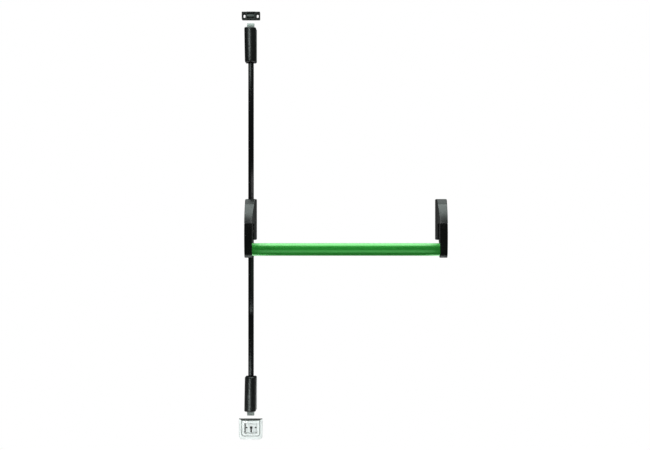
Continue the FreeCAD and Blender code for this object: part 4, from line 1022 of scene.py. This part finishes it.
@dataclass
class EndCover:
    """The cover over one latch."""

    name: str
    sign: int
    start: float = 507.0
    end: float = 617.5
    half_width: float = 18.5
    axis: Point = (16.5, 21.6)
    front: Point = (35.0, 46.0)
    wall: float = 2.3
    rod_hole: float = 5.7
    rod_end_round: float = 5.0
    bolt_end_bevel: float = 2.2

    def outline(self, drawn: float, height: float) -> np.ndarray:
        """The D section at a height, drawn in, with its back far behind the door face.

        Its front is an arc about an axis that leans, of a radius that grows towards the bolt, and
        its sides start where the arc reaches the half width.
        """
        part = (height - self.start) / (self.end - self.start)
        axis = self.axis[0] + (self.axis[1] - self.axis[0]) * part
        front = self.front[0] + (self.front[1] - self.front[0]) * part - drawn
        half = self.half_width - drawn
        side = axis + math.sqrt(max((front - axis) ** 2 - half**2, 0.0))
        return trace([(-half, -14.0), (-half, side), ((0.0, front), (half, side)), (half, -14.0)], 40)

    def form(self, name: str, drawn: float, levels: Sequence[tuple[float, float]]) -> Piece:
        """A stack of D sections, each drawn in by its own amount at its height."""
        return column(name, [(self.outline(drawn + more, z), z * self.sign) for more, z in levels])

    def build(self, finisher: Finisher) -> None:
        """Builds the cover: rounded at the rod's end, bevelled at the bolt's end."""
        round_off, bevel = self.rod_end_round, self.bolt_end_bevel
        angles = np.linspace(0, math.pi / 2, 8)
        levels = [(round_off + 0.4, self.start)]
        levels += [(round_off * (1 - math.sin(t)), self.start + round_off * (1 - math.cos(t))) for t in angles]
        middle = np.linspace(self.start + round_off + 6, self.end - bevel - 6, 6)
        levels += [(0.0, z) for z in middle]
        levels += [(0.0, self.end - bevel - 0.9), (0.12, self.end - bevel - 0.3), (0.55, self.end - bevel + 0.25)]
        levels += [(bevel - 0.45, self.end - 0.75), (bevel - 0.05, self.end - 0.2), (bevel + 0.6, self.end)]
        piece = self.form(f"{self.name}_end_shell", 0.0, levels)
        carve(piece, Cut.WITHIN, self.box((-30, 30), (0.0, 60.0), (self.start - 5, self.end + 5)))
        inner = (self.start + self.wall, self.end - self.wall)
        hollow = self.form("tool", self.wall, [(round_off - 1.0, inner[0]), (0.0, inner[0] + 4.0), (0.0, inner[1])])
        window = self.box((-11.5, 11.5), (9.8, 26.2), (inner[1] - 1, self.end + 1))
        rod = upright(self.rod_hole, tuple(sorted((self.sign * (self.start - 1), self.sign * (inner[0] + 1)))), 8.5)
        carve(piece, Cut.AWAY, hollow, window, rod)
        node = f"{self.name}_end_cover"
        finisher.set_in_frame(ease(piece, 0.3), [node], "root", Slot.CASING, SATIN_COVER)

    def box(self, x_range: Point, depths: Point, heights: Point) -> Piece:
        """A box on this cover's side of the bar."""
        return block(x_range, depths, tuple(sorted(self.sign * z for z in heights)))


@dataclass
class Bolt:
    """One bolt with its turned stem."""

    name: str
    body: str
    sign: int
    half_width: float = 11.3
    depths: Point = (10.0, 26.0)
    start: float = 575.0
    tip: float = 634.0
    bevel: Point = (9.0, 12.0)
    stem_depth: float = 18.0
    stem_radius: float = 3.0
    stem_start: float = 530.0

    def build(self, finisher: Finisher) -> None:
        """Builds the bolt's bevelled head and adds the stem."""
        near, far = self.depths
        outline = trace(
            [
                (near, self.start),
                (far, self.start),
                (far, self.tip - self.bevel[1]),
                (far - self.bevel[0], self.tip),
                (near, self.tip),
            ]
        )
        outline[:, 1] *= self.sign
        piece = slab(f"{self.name}_bolt_body", outline, lambda depth: self.half_width + 0 * depth, 0.7, 4)
        profile = [(self.stem_radius - 0.6, self.stem_start), (self.stem_radius, self.stem_start + 0.6)]
        profile += [(self.stem_radius, self.start + 2)]
        profile = [(radius, z * self.sign) for radius, z in profile]
        stem = turned("tool", profile, lambda a, b, z: lay(a, self.stem_depth + b, z), 32)
        carve(piece, Cut.ADD, stem)
        finisher.set_in_frame(ease(piece, 0.2), [f"{self.name}_bolt"], self.body, Slot.CAST)


@dataclass
class TopStrike:
    """The strike over the top bolt, with its roller."""

    low: float = 647.0
    high: float = 672.2
    half_width: float = 29.3
    wing: float = 16.0
    boss: float = 15.0
    depth: float = 17.4
    recess: tuple[float, float, float] = (17.0, 27.2, 5.0)
    recess_floor: float = 6.0
    window: float = 11.8
    rail: float = 3.4
    floor: float = 2.5
    slot_place: float = 21.5
    slot_half: float = 3.3
    slot_rise: float = 5.5
    roller_depth: float = 12.5
    roller_radius: float = 4.2
    pin_radius: float = 1.8

    def build(self, finisher: Finisher) -> None:
        """Builds the body, with a bore for the roller's pin, and the roller."""
        middle = (self.low + self.high) / 2
        piece = self.tile("top_strike_frame", self.half_width, self.wing)
        carve(piece, Cut.ADD, self.tile("tool", self.boss, self.depth))
        window = block(
            (-self.window, self.window), (self.floor, self.depth + 1), (self.low + self.rail, self.high - self.rail)
        )
        mouth = block(
            (-self.window + 0.01, self.window - 0.01),
            (self.floor + 0.01, self.depth - self.rail),
            (self.low - 1, self.low + self.rail + 1),
        )
        pin = across(self.pin_radius + 0.03, (-self.boss - 1, self.boss + 1), self.roller_depth, middle)
        carve(piece, Cut.AWAY, window, mouth, pin)
        near, far, bar = self.recess
        for side in (-1, 1):
            dish = rounded_rectangle(
                (min(side * near, side * far), self.low + bar), (max(side * near, side * far), self.high - bar), 2, 2
            )
            slot = rounded_rectangle(
                (side * self.slot_place - self.slot_half, middle - self.slot_rise),
                (side * self.slot_place + self.slot_half, middle + self.slot_rise),
                self.slot_half - 0.02,
                self.slot_half - 0.02,
            )
            dished = [(inset(dish, 1.2), self.recess_floor), (dish, self.wing + 1)]
            carve(piece, Cut.AWAY, plate("tool", dished), plate("tool", [(slot, -1.0), (slot, self.depth)]))
        finisher.set_in_frame(ease(piece, 0.35), ["top_strike_body"], "root", Slot.CASING, STRIKE_PAINT)
        half, radius = self.window - 0.4, self.roller_radius
        bore = self.pin_radius + 0.05
        profile = [(bore, -half), (radius - 0.6, -half), (radius, -half + 0.6), (radius, half - 0.6)]
        profile += [(radius - 0.6, half), (bore, half)]
        angles = math.tau * np.arange(48) / 48
        rings = [
            lay(np.array(x), self.roller_depth + r * np.cos(angles), middle + r * np.sin(angles)) for r, x in profile
        ]
        roller = from_rings("strike_roller", np.stack(rings), Ends.JOINED)
        finisher.set_in_frame(ease(roller, 0.0), ["top_strike_roller"], "strike_roller", Slot.BRIGHT, DULL_ROLLER)

    def tile(self, name: str, half: float, depth: float) -> Piece:
        """A plate of the strike's height with softened corners and front edges."""
        outline = rounded_rectangle((-half, self.low), (half, self.high), 2.5, 1.2)
        ease_by = 0.6
        levels = [(outline, 0.0), (outline, depth - ease_by), (inset(outline, 0.18), depth - 0.18)]
        levels += [(inset(outline, ease_by), depth)]
        return plate(name, levels)


@dataclass
class FloorStrike:
    """The strike for the bottom bolt: a dished plate and the cup behind it."""

    top: float = -643.8
    foot: float = -712.0
    half_width: float = 38.4
    cup_depth: float = 12.4
    face_depth: float = 16.0
    field: tuple[float, float, float] = (29.1, -700.0, -650.3)
    groove: Point = (1.2, 1.5)
    # Depths of a thin sheet left across the cup's holes, dressed black as painted shade in them.
    shade_sheet: Point = (0.8, 1.3)
    socket_half: float = 20.3
    socket_top: float = -659.0
    socket_foot: float = -692.0
    cup_wall: float = 2.0
    cup_floor: float = 2.4

    def build(self, finisher: Finisher) -> None:
        """Builds the plate and the cup."""
        opening = rounded_rectangle(
            (-self.socket_half, self.socket_foot), (self.socket_half, self.socket_top), 0.8, 0.8
        )
        finisher.set_in_frame(self.face(opening), ["floor_strike_plate"], "root", Slot.FLOOR_PLATE)
        # The groove and the opening's walls take the darker die-cast finish as painted shade.
        finisher.dress_faces("floor_strike_face", Slot.CAST, self.on_groove_painted_shade)
        # The slope over the field faces up and takes the black finish as painted shade.
        finisher.dress_faces("floor_strike_face", Slot.BLACKENED, self.on_top_slope_painted_shade)
        finisher.set_in_frame(self.cup(), ["floor_strike_cup"], "root", Slot.ZINC)
        # The cup's floor takes the plate's finish, and the upward lower side of its hollow takes it too as painted
        # light.
        finisher.dress_faces("floor_strike_box", Slot.FLOOR_PLATE, self.on_floor_and_painted_light)
        # The sheet across the holes and the hollow's other sides take the black finish as painted shade.
        finisher.dress_faces("floor_strike_box", Slot.BLACKENED, self.on_painted_shade)

    def face(self, opening: np.ndarray) -> Piece:
        """The plate: a bevelled rim, slopes up to a flat field, and a groove round the field."""
        outer = rounded_rectangle((-self.half_width, self.foot), (self.half_width, self.top), 12.0, 1.6)
        half, low, high = self.field
        field = rounded_rectangle((-half, low), (half, high), 7.0, 1.6)
        wide, deep = self.groove
        depth = self.face_depth
        levels = [(inset(outer, 0.2), self.cup_depth), (outer, self.cup_depth + 0.3)]
        levels += [(inset(outer, 0.9), depth - 2.2), (inset(outer, 1.3), depth - 2.0)]
        levels += [(inset(field, -wide), depth - 0.6), (field, depth - deep)]
        levels += [(inset(field, wide - 0.2), depth - 0.1), (inset(field, wide + 0.2), depth)]
        piece = plate("floor_strike_face", levels)
        return ease(carve(piece, Cut.AWAY, plate("tool", [(opening, 0.0), (opening, 30.0)])), 0.2)

    def cup(self) -> Piece:
        """The cup, with a thin sheet across its screw holes and its keyhole, dressed black as painted shade in the
        holes.
        """
        wall = self.cup_wall
        low = (-self.socket_half - wall, self.socket_foot - wall)
        high = (self.socket_half + wall, self.socket_top + wall)
        outer = rounded_rectangle(low, high, 2.0, 2.0)
        piece = plate("floor_strike_box", [(outer, 0.0), (outer, self.cup_depth)])
        middle = (self.socket_top + self.socket_foot) / 2
        mouth = rounded_rectangle(
            (-self.socket_half, self.socket_foot), (self.socket_half, self.socket_top), 3.0, 3.0
        )
        rounding = ((2.2, 0.0), (1.2, 0.6), (0.4, 1.8), (0.0, 3.6), (0.0, 40.0))
        carve(piece, Cut.AWAY, plate("tool", [(inset(mouth, away), self.cup_floor + rise) for away, rise in rounding]))
        # The holes stop at a thin sheet, which is dressed black as painted shade in the holes.
        for depths in ((-1.0, self.shade_sheet[0]), (self.shade_sheet[1], 9.0)):
            holes = [forward(4.5, depths, 0.0, middle)]
            holes += [forward(2.6, depths, side * 14.5, middle) for side in (-1, 1)]
            carve(piece, Cut.AWAY, *holes)
            carve(piece, Cut.AWAY, block((-2.2, 2.2), depths, (self.socket_foot + 2, middle)))
        return ease(piece, 0.2)

    def on_top_slope_painted_shade(self, centre: np.ndarray, normal: np.ndarray) -> np.ndarray:
        """Which faces belong to the slope over the field, dressed black as painted shade on this upward slope."""
        return (centre[:, 2] > self.field[2] + self.groove[0] * 0.5) & (normal[:, 2] > 0.15) & (normal[:, 1] < -0.3)

    def on_groove_painted_shade(self, centre: np.ndarray, normal: np.ndarray) -> np.ndarray:
        """Which faces belong to the groove round the field or to the opening's walls, dressed in the darker cast finish
        as painted shade.
        """
        facing = np.abs(normal[:, 1])
        groove = (-centre[:, 1] > self.face_depth - self.groove[1] - 0.1) & (facing > 0.2) & (facing < 0.96)
        return groove | (self.inside(centre) & (facing < 0.2))

    def on_floor_and_painted_light(self, centre: np.ndarray, normal: np.ndarray) -> np.ndarray:
        """Which faces belong to the cup's floor, in the plate's finish, and to the lower side of its hollow, which
        faces up and is dressed bright as painted light.
        """
        depth = -centre[:, 1]
        return (depth > self.cup_floor - 0.3) & (self.inside(centre)) & ((normal[:, 1] < -0.9) | (normal[:, 2] > 0.4))

    def on_painted_shade(self, centre: np.ndarray, normal: np.ndarray) -> np.ndarray:
        """Which faces belong to the sheet across the holes and to the other sides of the hollow, dressed black as
        painted shade.
        """
        depth = -centre[:, 1]
        shade_sheet = (depth > self.shade_sheet[0] - 0.05) & (depth < self.shade_sheet[1] + 0.05) & (np.abs(normal[:, 1]) > 0.9)
        return shade_sheet | ((depth > self.cup_floor + 0.1) & self.inside(centre) & (normal[:, 1] > -0.9) & (normal[:, 2] < 0.4))

    def inside(self, centre: np.ndarray) -> np.ndarray:
        """Which places lie within the outline of the opening."""
        middle = (self.socket_top + self.socket_foot) / 2
        rise = (self.socket_top - self.socket_foot) / 2
        return (np.abs(centre[:, 0]) < self.socket_half + 0.1) & (np.abs(centre[:, 2] - middle) < rise + 0.1)


@dataclass
class Springs:
    """The wound springs: one return spring at each pivot and one spring over each bolt's stem."""

    pivot: Point = (60.0, 22.0)
    return_radius: float = 6.0
    return_wire: float = 1.3
    return_turns: float = 2.25
    return_start: float = 1.05
    return_pitch: float = 1.75
    legs: Point = (20.0, 33.0)
    stem_depth: float = 18.0
    bolt_radius: float = 5.7
    bolt_wire: float = 1.4
    bolt_turns: int = 3
    bolt_range: Point = (545.7, 574.3)

    def build(self, finisher: Finisher) -> None:
        """Builds the return springs as one piece and the bolt springs as another."""
        returns = [self.return_spring(x) for x in (0.0, CASING_SPAN)]
        finisher.set_in_frame(gather("wound_return_springs", returns), ["return_springs"], "root", Slot.SPRING)
        bolts = [self.bolt_spring(sign) for sign in (1, -1)]
        finisher.set_in_frame(gather("wound_bolt_springs", bolts), ["bolt_springs"], "root", Slot.SPRING)

    def return_spring(self, x: float) -> Piece:
        """A helix about the spindle, straight before and after its turns."""
        turn = np.linspace(0, self.return_turns, 90)
        angle = math.pi / 2 - math.tau * turn
        coil = lay(
            x + self.return_start + self.return_pitch * turn,
            self.pivot[0] + self.return_radius * np.cos(angle),
            self.pivot[1] + self.return_radius * np.sin(angle),
        )
        first, last = angle[0], angle[-1]
        lead = lay(np.array(0.0), -np.sin(first), np.array(np.cos(first))) * self.legs[0]
        trail = lay(np.array(0.0), np.sin(last), np.array(-np.cos(last))) * self.legs[1]
        steps = np.linspace(0, 1, 6)[:-1, None]
        line = np.concatenate([coil[0] + lead * (1 - steps), coil, coil[-1] + trail * (steps + 0.2)])
        return wire("tool", line, self.return_wire / 2)

    def bolt_spring(self, sign: int) -> Piece:
        """A helix round the stem."""
        turn = np.linspace(0, 1, 140)
        angle = math.tau * self.bolt_turns * turn
        low, high = self.bolt_range
        line = lay(
            self.bolt_radius * np.cos(angle),
            self.stem_depth + self.bolt_radius * np.sin(angle),
            sign * (low + (high - low) * turn),
        )
        return wire("tool", line, self.bolt_wire / 2)


def gather(name: str, pieces: Sequence[Piece]) -> Piece:
    """Joins like pieces into one mesh."""
    shape = bmesh.new()
    for piece in pieces:
        shape.from_mesh(piece.data)
        mesh = piece.data
        bpy.data.objects.remove(piece)
        bpy.data.meshes.remove(mesh)
    mesh = bpy.data.meshes.new(name)
    shape.to_mesh(mesh)
    shape.free()
    joined = bpy.data.objects.new(name, mesh)
    bpy.context.scene.collection.objects.link(joined)
    return ease(joined, 0.0)


# Studio


@dataclass
class Studio:
    """Camera, lamps, world, floor and backdrop."""

    camera_place: tuple[float, float, float] = (0.3078, -3.0, -0.05025)
    lens: float = 51.12
    shift: Point = (-0.0322, 0.0154)
    floor_level: float = -0.76
    floor_depths: Point = (-0.25, 1.6)
    floor_sides: Point = (-1.5, 2.1)
    surround: float = 0.04
    mirrored: float = 0.07

    def build(self) -> None:
        """Sets up everything round the object."""
        self.camera()
        self.world()
        self.lamps()
        self.floor()
        view = bpy.context.scene.view_settings
        view.view_transform = "Standard"

    def camera(self) -> None:
        """The camera at the photograph's viewing angle, level and square to the door."""
        lens = bpy.data.cameras.new("camera")
        lens.lens = self.lens
        lens.sensor_width = 36.0
        lens.shift_x, lens.shift_y = self.shift
        camera = bpy.data.objects.new("camera", lens)
        camera.location = self.camera_place
        camera.rotation_euler = (math.pi / 2, 0, 0)
        bpy.context.scene.collection.objects.link(camera)
        bpy.context.scene.camera = camera

    def lamp(
        self, name: str, place: Sequence[float], towards: Sequence[float], size: Point, power: float,
        colour: Sequence[float] = (1, 1, 1), seen_in_gloss: bool = True,
    ) -> None:
        """A soft rectangular lamp.

        Args:
            name: Its name.
            place: Where it stands, in metres.
            towards: The point that it faces.
            size: Its width and height in metres.
            power: Its power in watts.
            colour: Its colour.
            seen_in_gloss: Whether glossy surfaces mirror it.
        """
        light = bpy.data.lights.new(name, "AREA")
        light.shape = "RECTANGLE"
        light.size, light.size_y = size
        light.energy = power
        light.color = colour
        holder = bpy.data.objects.new(name, light)
        holder.location = place
        holder.rotation_euler = (Vector(towards) - Vector(place)).to_track_quat("-Z", "Y").to_euler()
        holder.visible_camera = False
        holder.visible_glossy = seen_in_gloss
        bpy.context.scene.collection.objects.link(holder)

    def lamps(self) -> None:
        """A wide box overhead, narrow boxes along the bar and beside each end cover, and two fills
        that gloss doesn't mirror."""
        pale = (0.88, 1.0, 0.96)
        bar = (0.308, -0.0865, -0.096)
        self.lamp("overhead", (0.3, 0.05, 1.55), (0.3, 0.05, 0.0), (1.9, 1.6), 38.0, pale)
        self.lamp("above the bar", (0.308, -0.219, 0.116), bar, (0.60, 0.15), 1.0)
        self.lamp("below the bar", (0.308, -0.32, -0.186), bar, (0.60, 0.115), 0.20, (0.62, 1.0, 0.68))
        for side in (-1, 1):
            level = 0.5675 * side
            self.lamp("beside the cover", (-0.065, -0.275, level), (0, -0.04, level), (0.07, 0.14), 0.34, pale)
            higher = 0.62 * side
            self.lamp("behind the cover", (0.075, 0.24, higher), (0, 0, level), (0.09, 0.16), 0.016, pale)
        self.lamp("before the floor strike", (-0.03, -0.33, -0.69), (0, -0.02, -0.64), (0.12, 0.10), 0.09)
        for x in (0.0, 0.616):
            self.lamp("under the lever", (x, -0.115, -0.30), (x, -0.093, -0.12), (0.06, 0.07), 0.10, pale)
        self.lamp("fill", (0.3, -3.2, 0.5), (0.3, 0.0, 0.0), (2.2, 2.2), 30.0, seen_in_gloss=False)
        self.lamp("back", (0.3, 3.0, 0.6), (0.3, 0.0, 0.0), (2.4, 2.4), 30.0, seen_in_gloss=False)

    def shown_white(self, tree: bpy.types.NodeTree, mirrored: float) -> bpy.types.NodeSocket:
        """How much of plain white a ray sees: all for the camera and through glass, and a share
        of it in gloss."""
        path = tree.nodes.new("ShaderNodeLightPath")
        gloss = tree.nodes.new("ShaderNodeMath")
        gloss.operation = "MULTIPLY"
        gloss.inputs[1].default_value = mirrored
        tree.links.new(path.outputs["Is Glossy Ray"], gloss.inputs[0])
        seen = path.outputs["Is Camera Ray"]
        for other in (gloss.outputs[0], path.outputs["Is Transmission Ray"]):
            most = tree.nodes.new("ShaderNodeMath")
            most.operation = "MAXIMUM"
            tree.links.new(seen, most.inputs[0])
            tree.links.new(other, most.inputs[1])
            seen = most.outputs[0]
        return seen

    def blend(
        self, tree: bpy.types.NodeTree, mirrored: float, plain: bpy.types.Node, white: bpy.types.Node, output: bpy.types.Node
    ) -> None:
        """Joins the plain shader, and the white one where a ray sees white, to the output."""
        mixed = tree.nodes.new("ShaderNodeMixShader")
        tree.links.new(self.shown_white(tree, mirrored), mixed.inputs[0])
        tree.links.new(plain.outputs[0], mixed.inputs[1])
        tree.links.new(white.outputs[0], mixed.inputs[2])
        tree.links.new(mixed.outputs[0], output.inputs[0])

    def world(self) -> None:
        """White to the camera and through glass, dim grey for light and gloss."""
        world = bpy.data.worlds.new("studio")
        world.use_nodes = True
        tree = world.node_tree
        tree.nodes.clear()
        dim = tree.nodes.new("ShaderNodeBackground")
        dim.inputs[0].default_value = (0.9, 1.0, 0.97, 1.0)
        dim.inputs[1].default_value = self.surround
        white = tree.nodes.new("ShaderNodeBackground")
        white.inputs[0].default_value = (1, 1, 1, 1)
        self.blend(tree, self.mirrored, dim, white, tree.nodes.new("ShaderNodeOutputWorld"))
        bpy.context.scene.world = world

    def floor(self) -> None:
        """The pale floor, white where it is seen or mirrored."""
        material = bpy.data.materials.new("pale floor")
        material.use_nodes = True
        tree = material.node_tree
        tree.nodes.clear()
        paint = tree.nodes.new("ShaderNodeBsdfDiffuse")
        paint.inputs[0].default_value = (0.8, 0.8, 0.8, 1)
        white = tree.nodes.new("ShaderNodeEmission")
        white.inputs[0].default_value = (1, 1, 1, 1)
        self.blend(tree, 1.0, paint, white, tree.nodes.new("ShaderNodeOutputMaterial"))
        (near, far), (left, right) = self.floor_depths, self.floor_sides
        corners = [(left, near), (right, near), (right, far), (left, far)]
        mesh = bpy.data.meshes.new("floor")
        mesh.from_pydata([(*corner, self.floor_level) for corner in corners], [], [(0, 1, 2, 3)])
        mesh.materials.append(material)
        sheet = bpy.data.objects.new("floor", mesh)
        bpy.context.scene.collection.objects.link(sheet)


def main() -> None:
    """Builds the looks of every sub-assembly and the studio round them."""
    logging.basicConfig(level=logging.INFO, format="%(name)s: %(message)s")
    finisher = Finisher()
    form = CasingForm()
    Casing("active", 0.0, 1, True, form).build(finisher)
    Casing("idle", CASING_SPAN, -1, False, form).build(finisher)
    Bar().build(finisher)
    for name, end, body, sign in (("upper", "top", "upper_rod", 1), ("lower", "bottom", "lower_rod", -1)):
        RodCover(name, sign).build(finisher)
        EndCover(end, sign).build(finisher)
        Bolt(end, body, sign).build(finisher)
    TopStrike().build(finisher)
    FloorStrike().build(finisher)
    Springs().build(finisher)
    finisher.dress_frame()
    Studio().build()


if __name__ == "__main__":
    main()
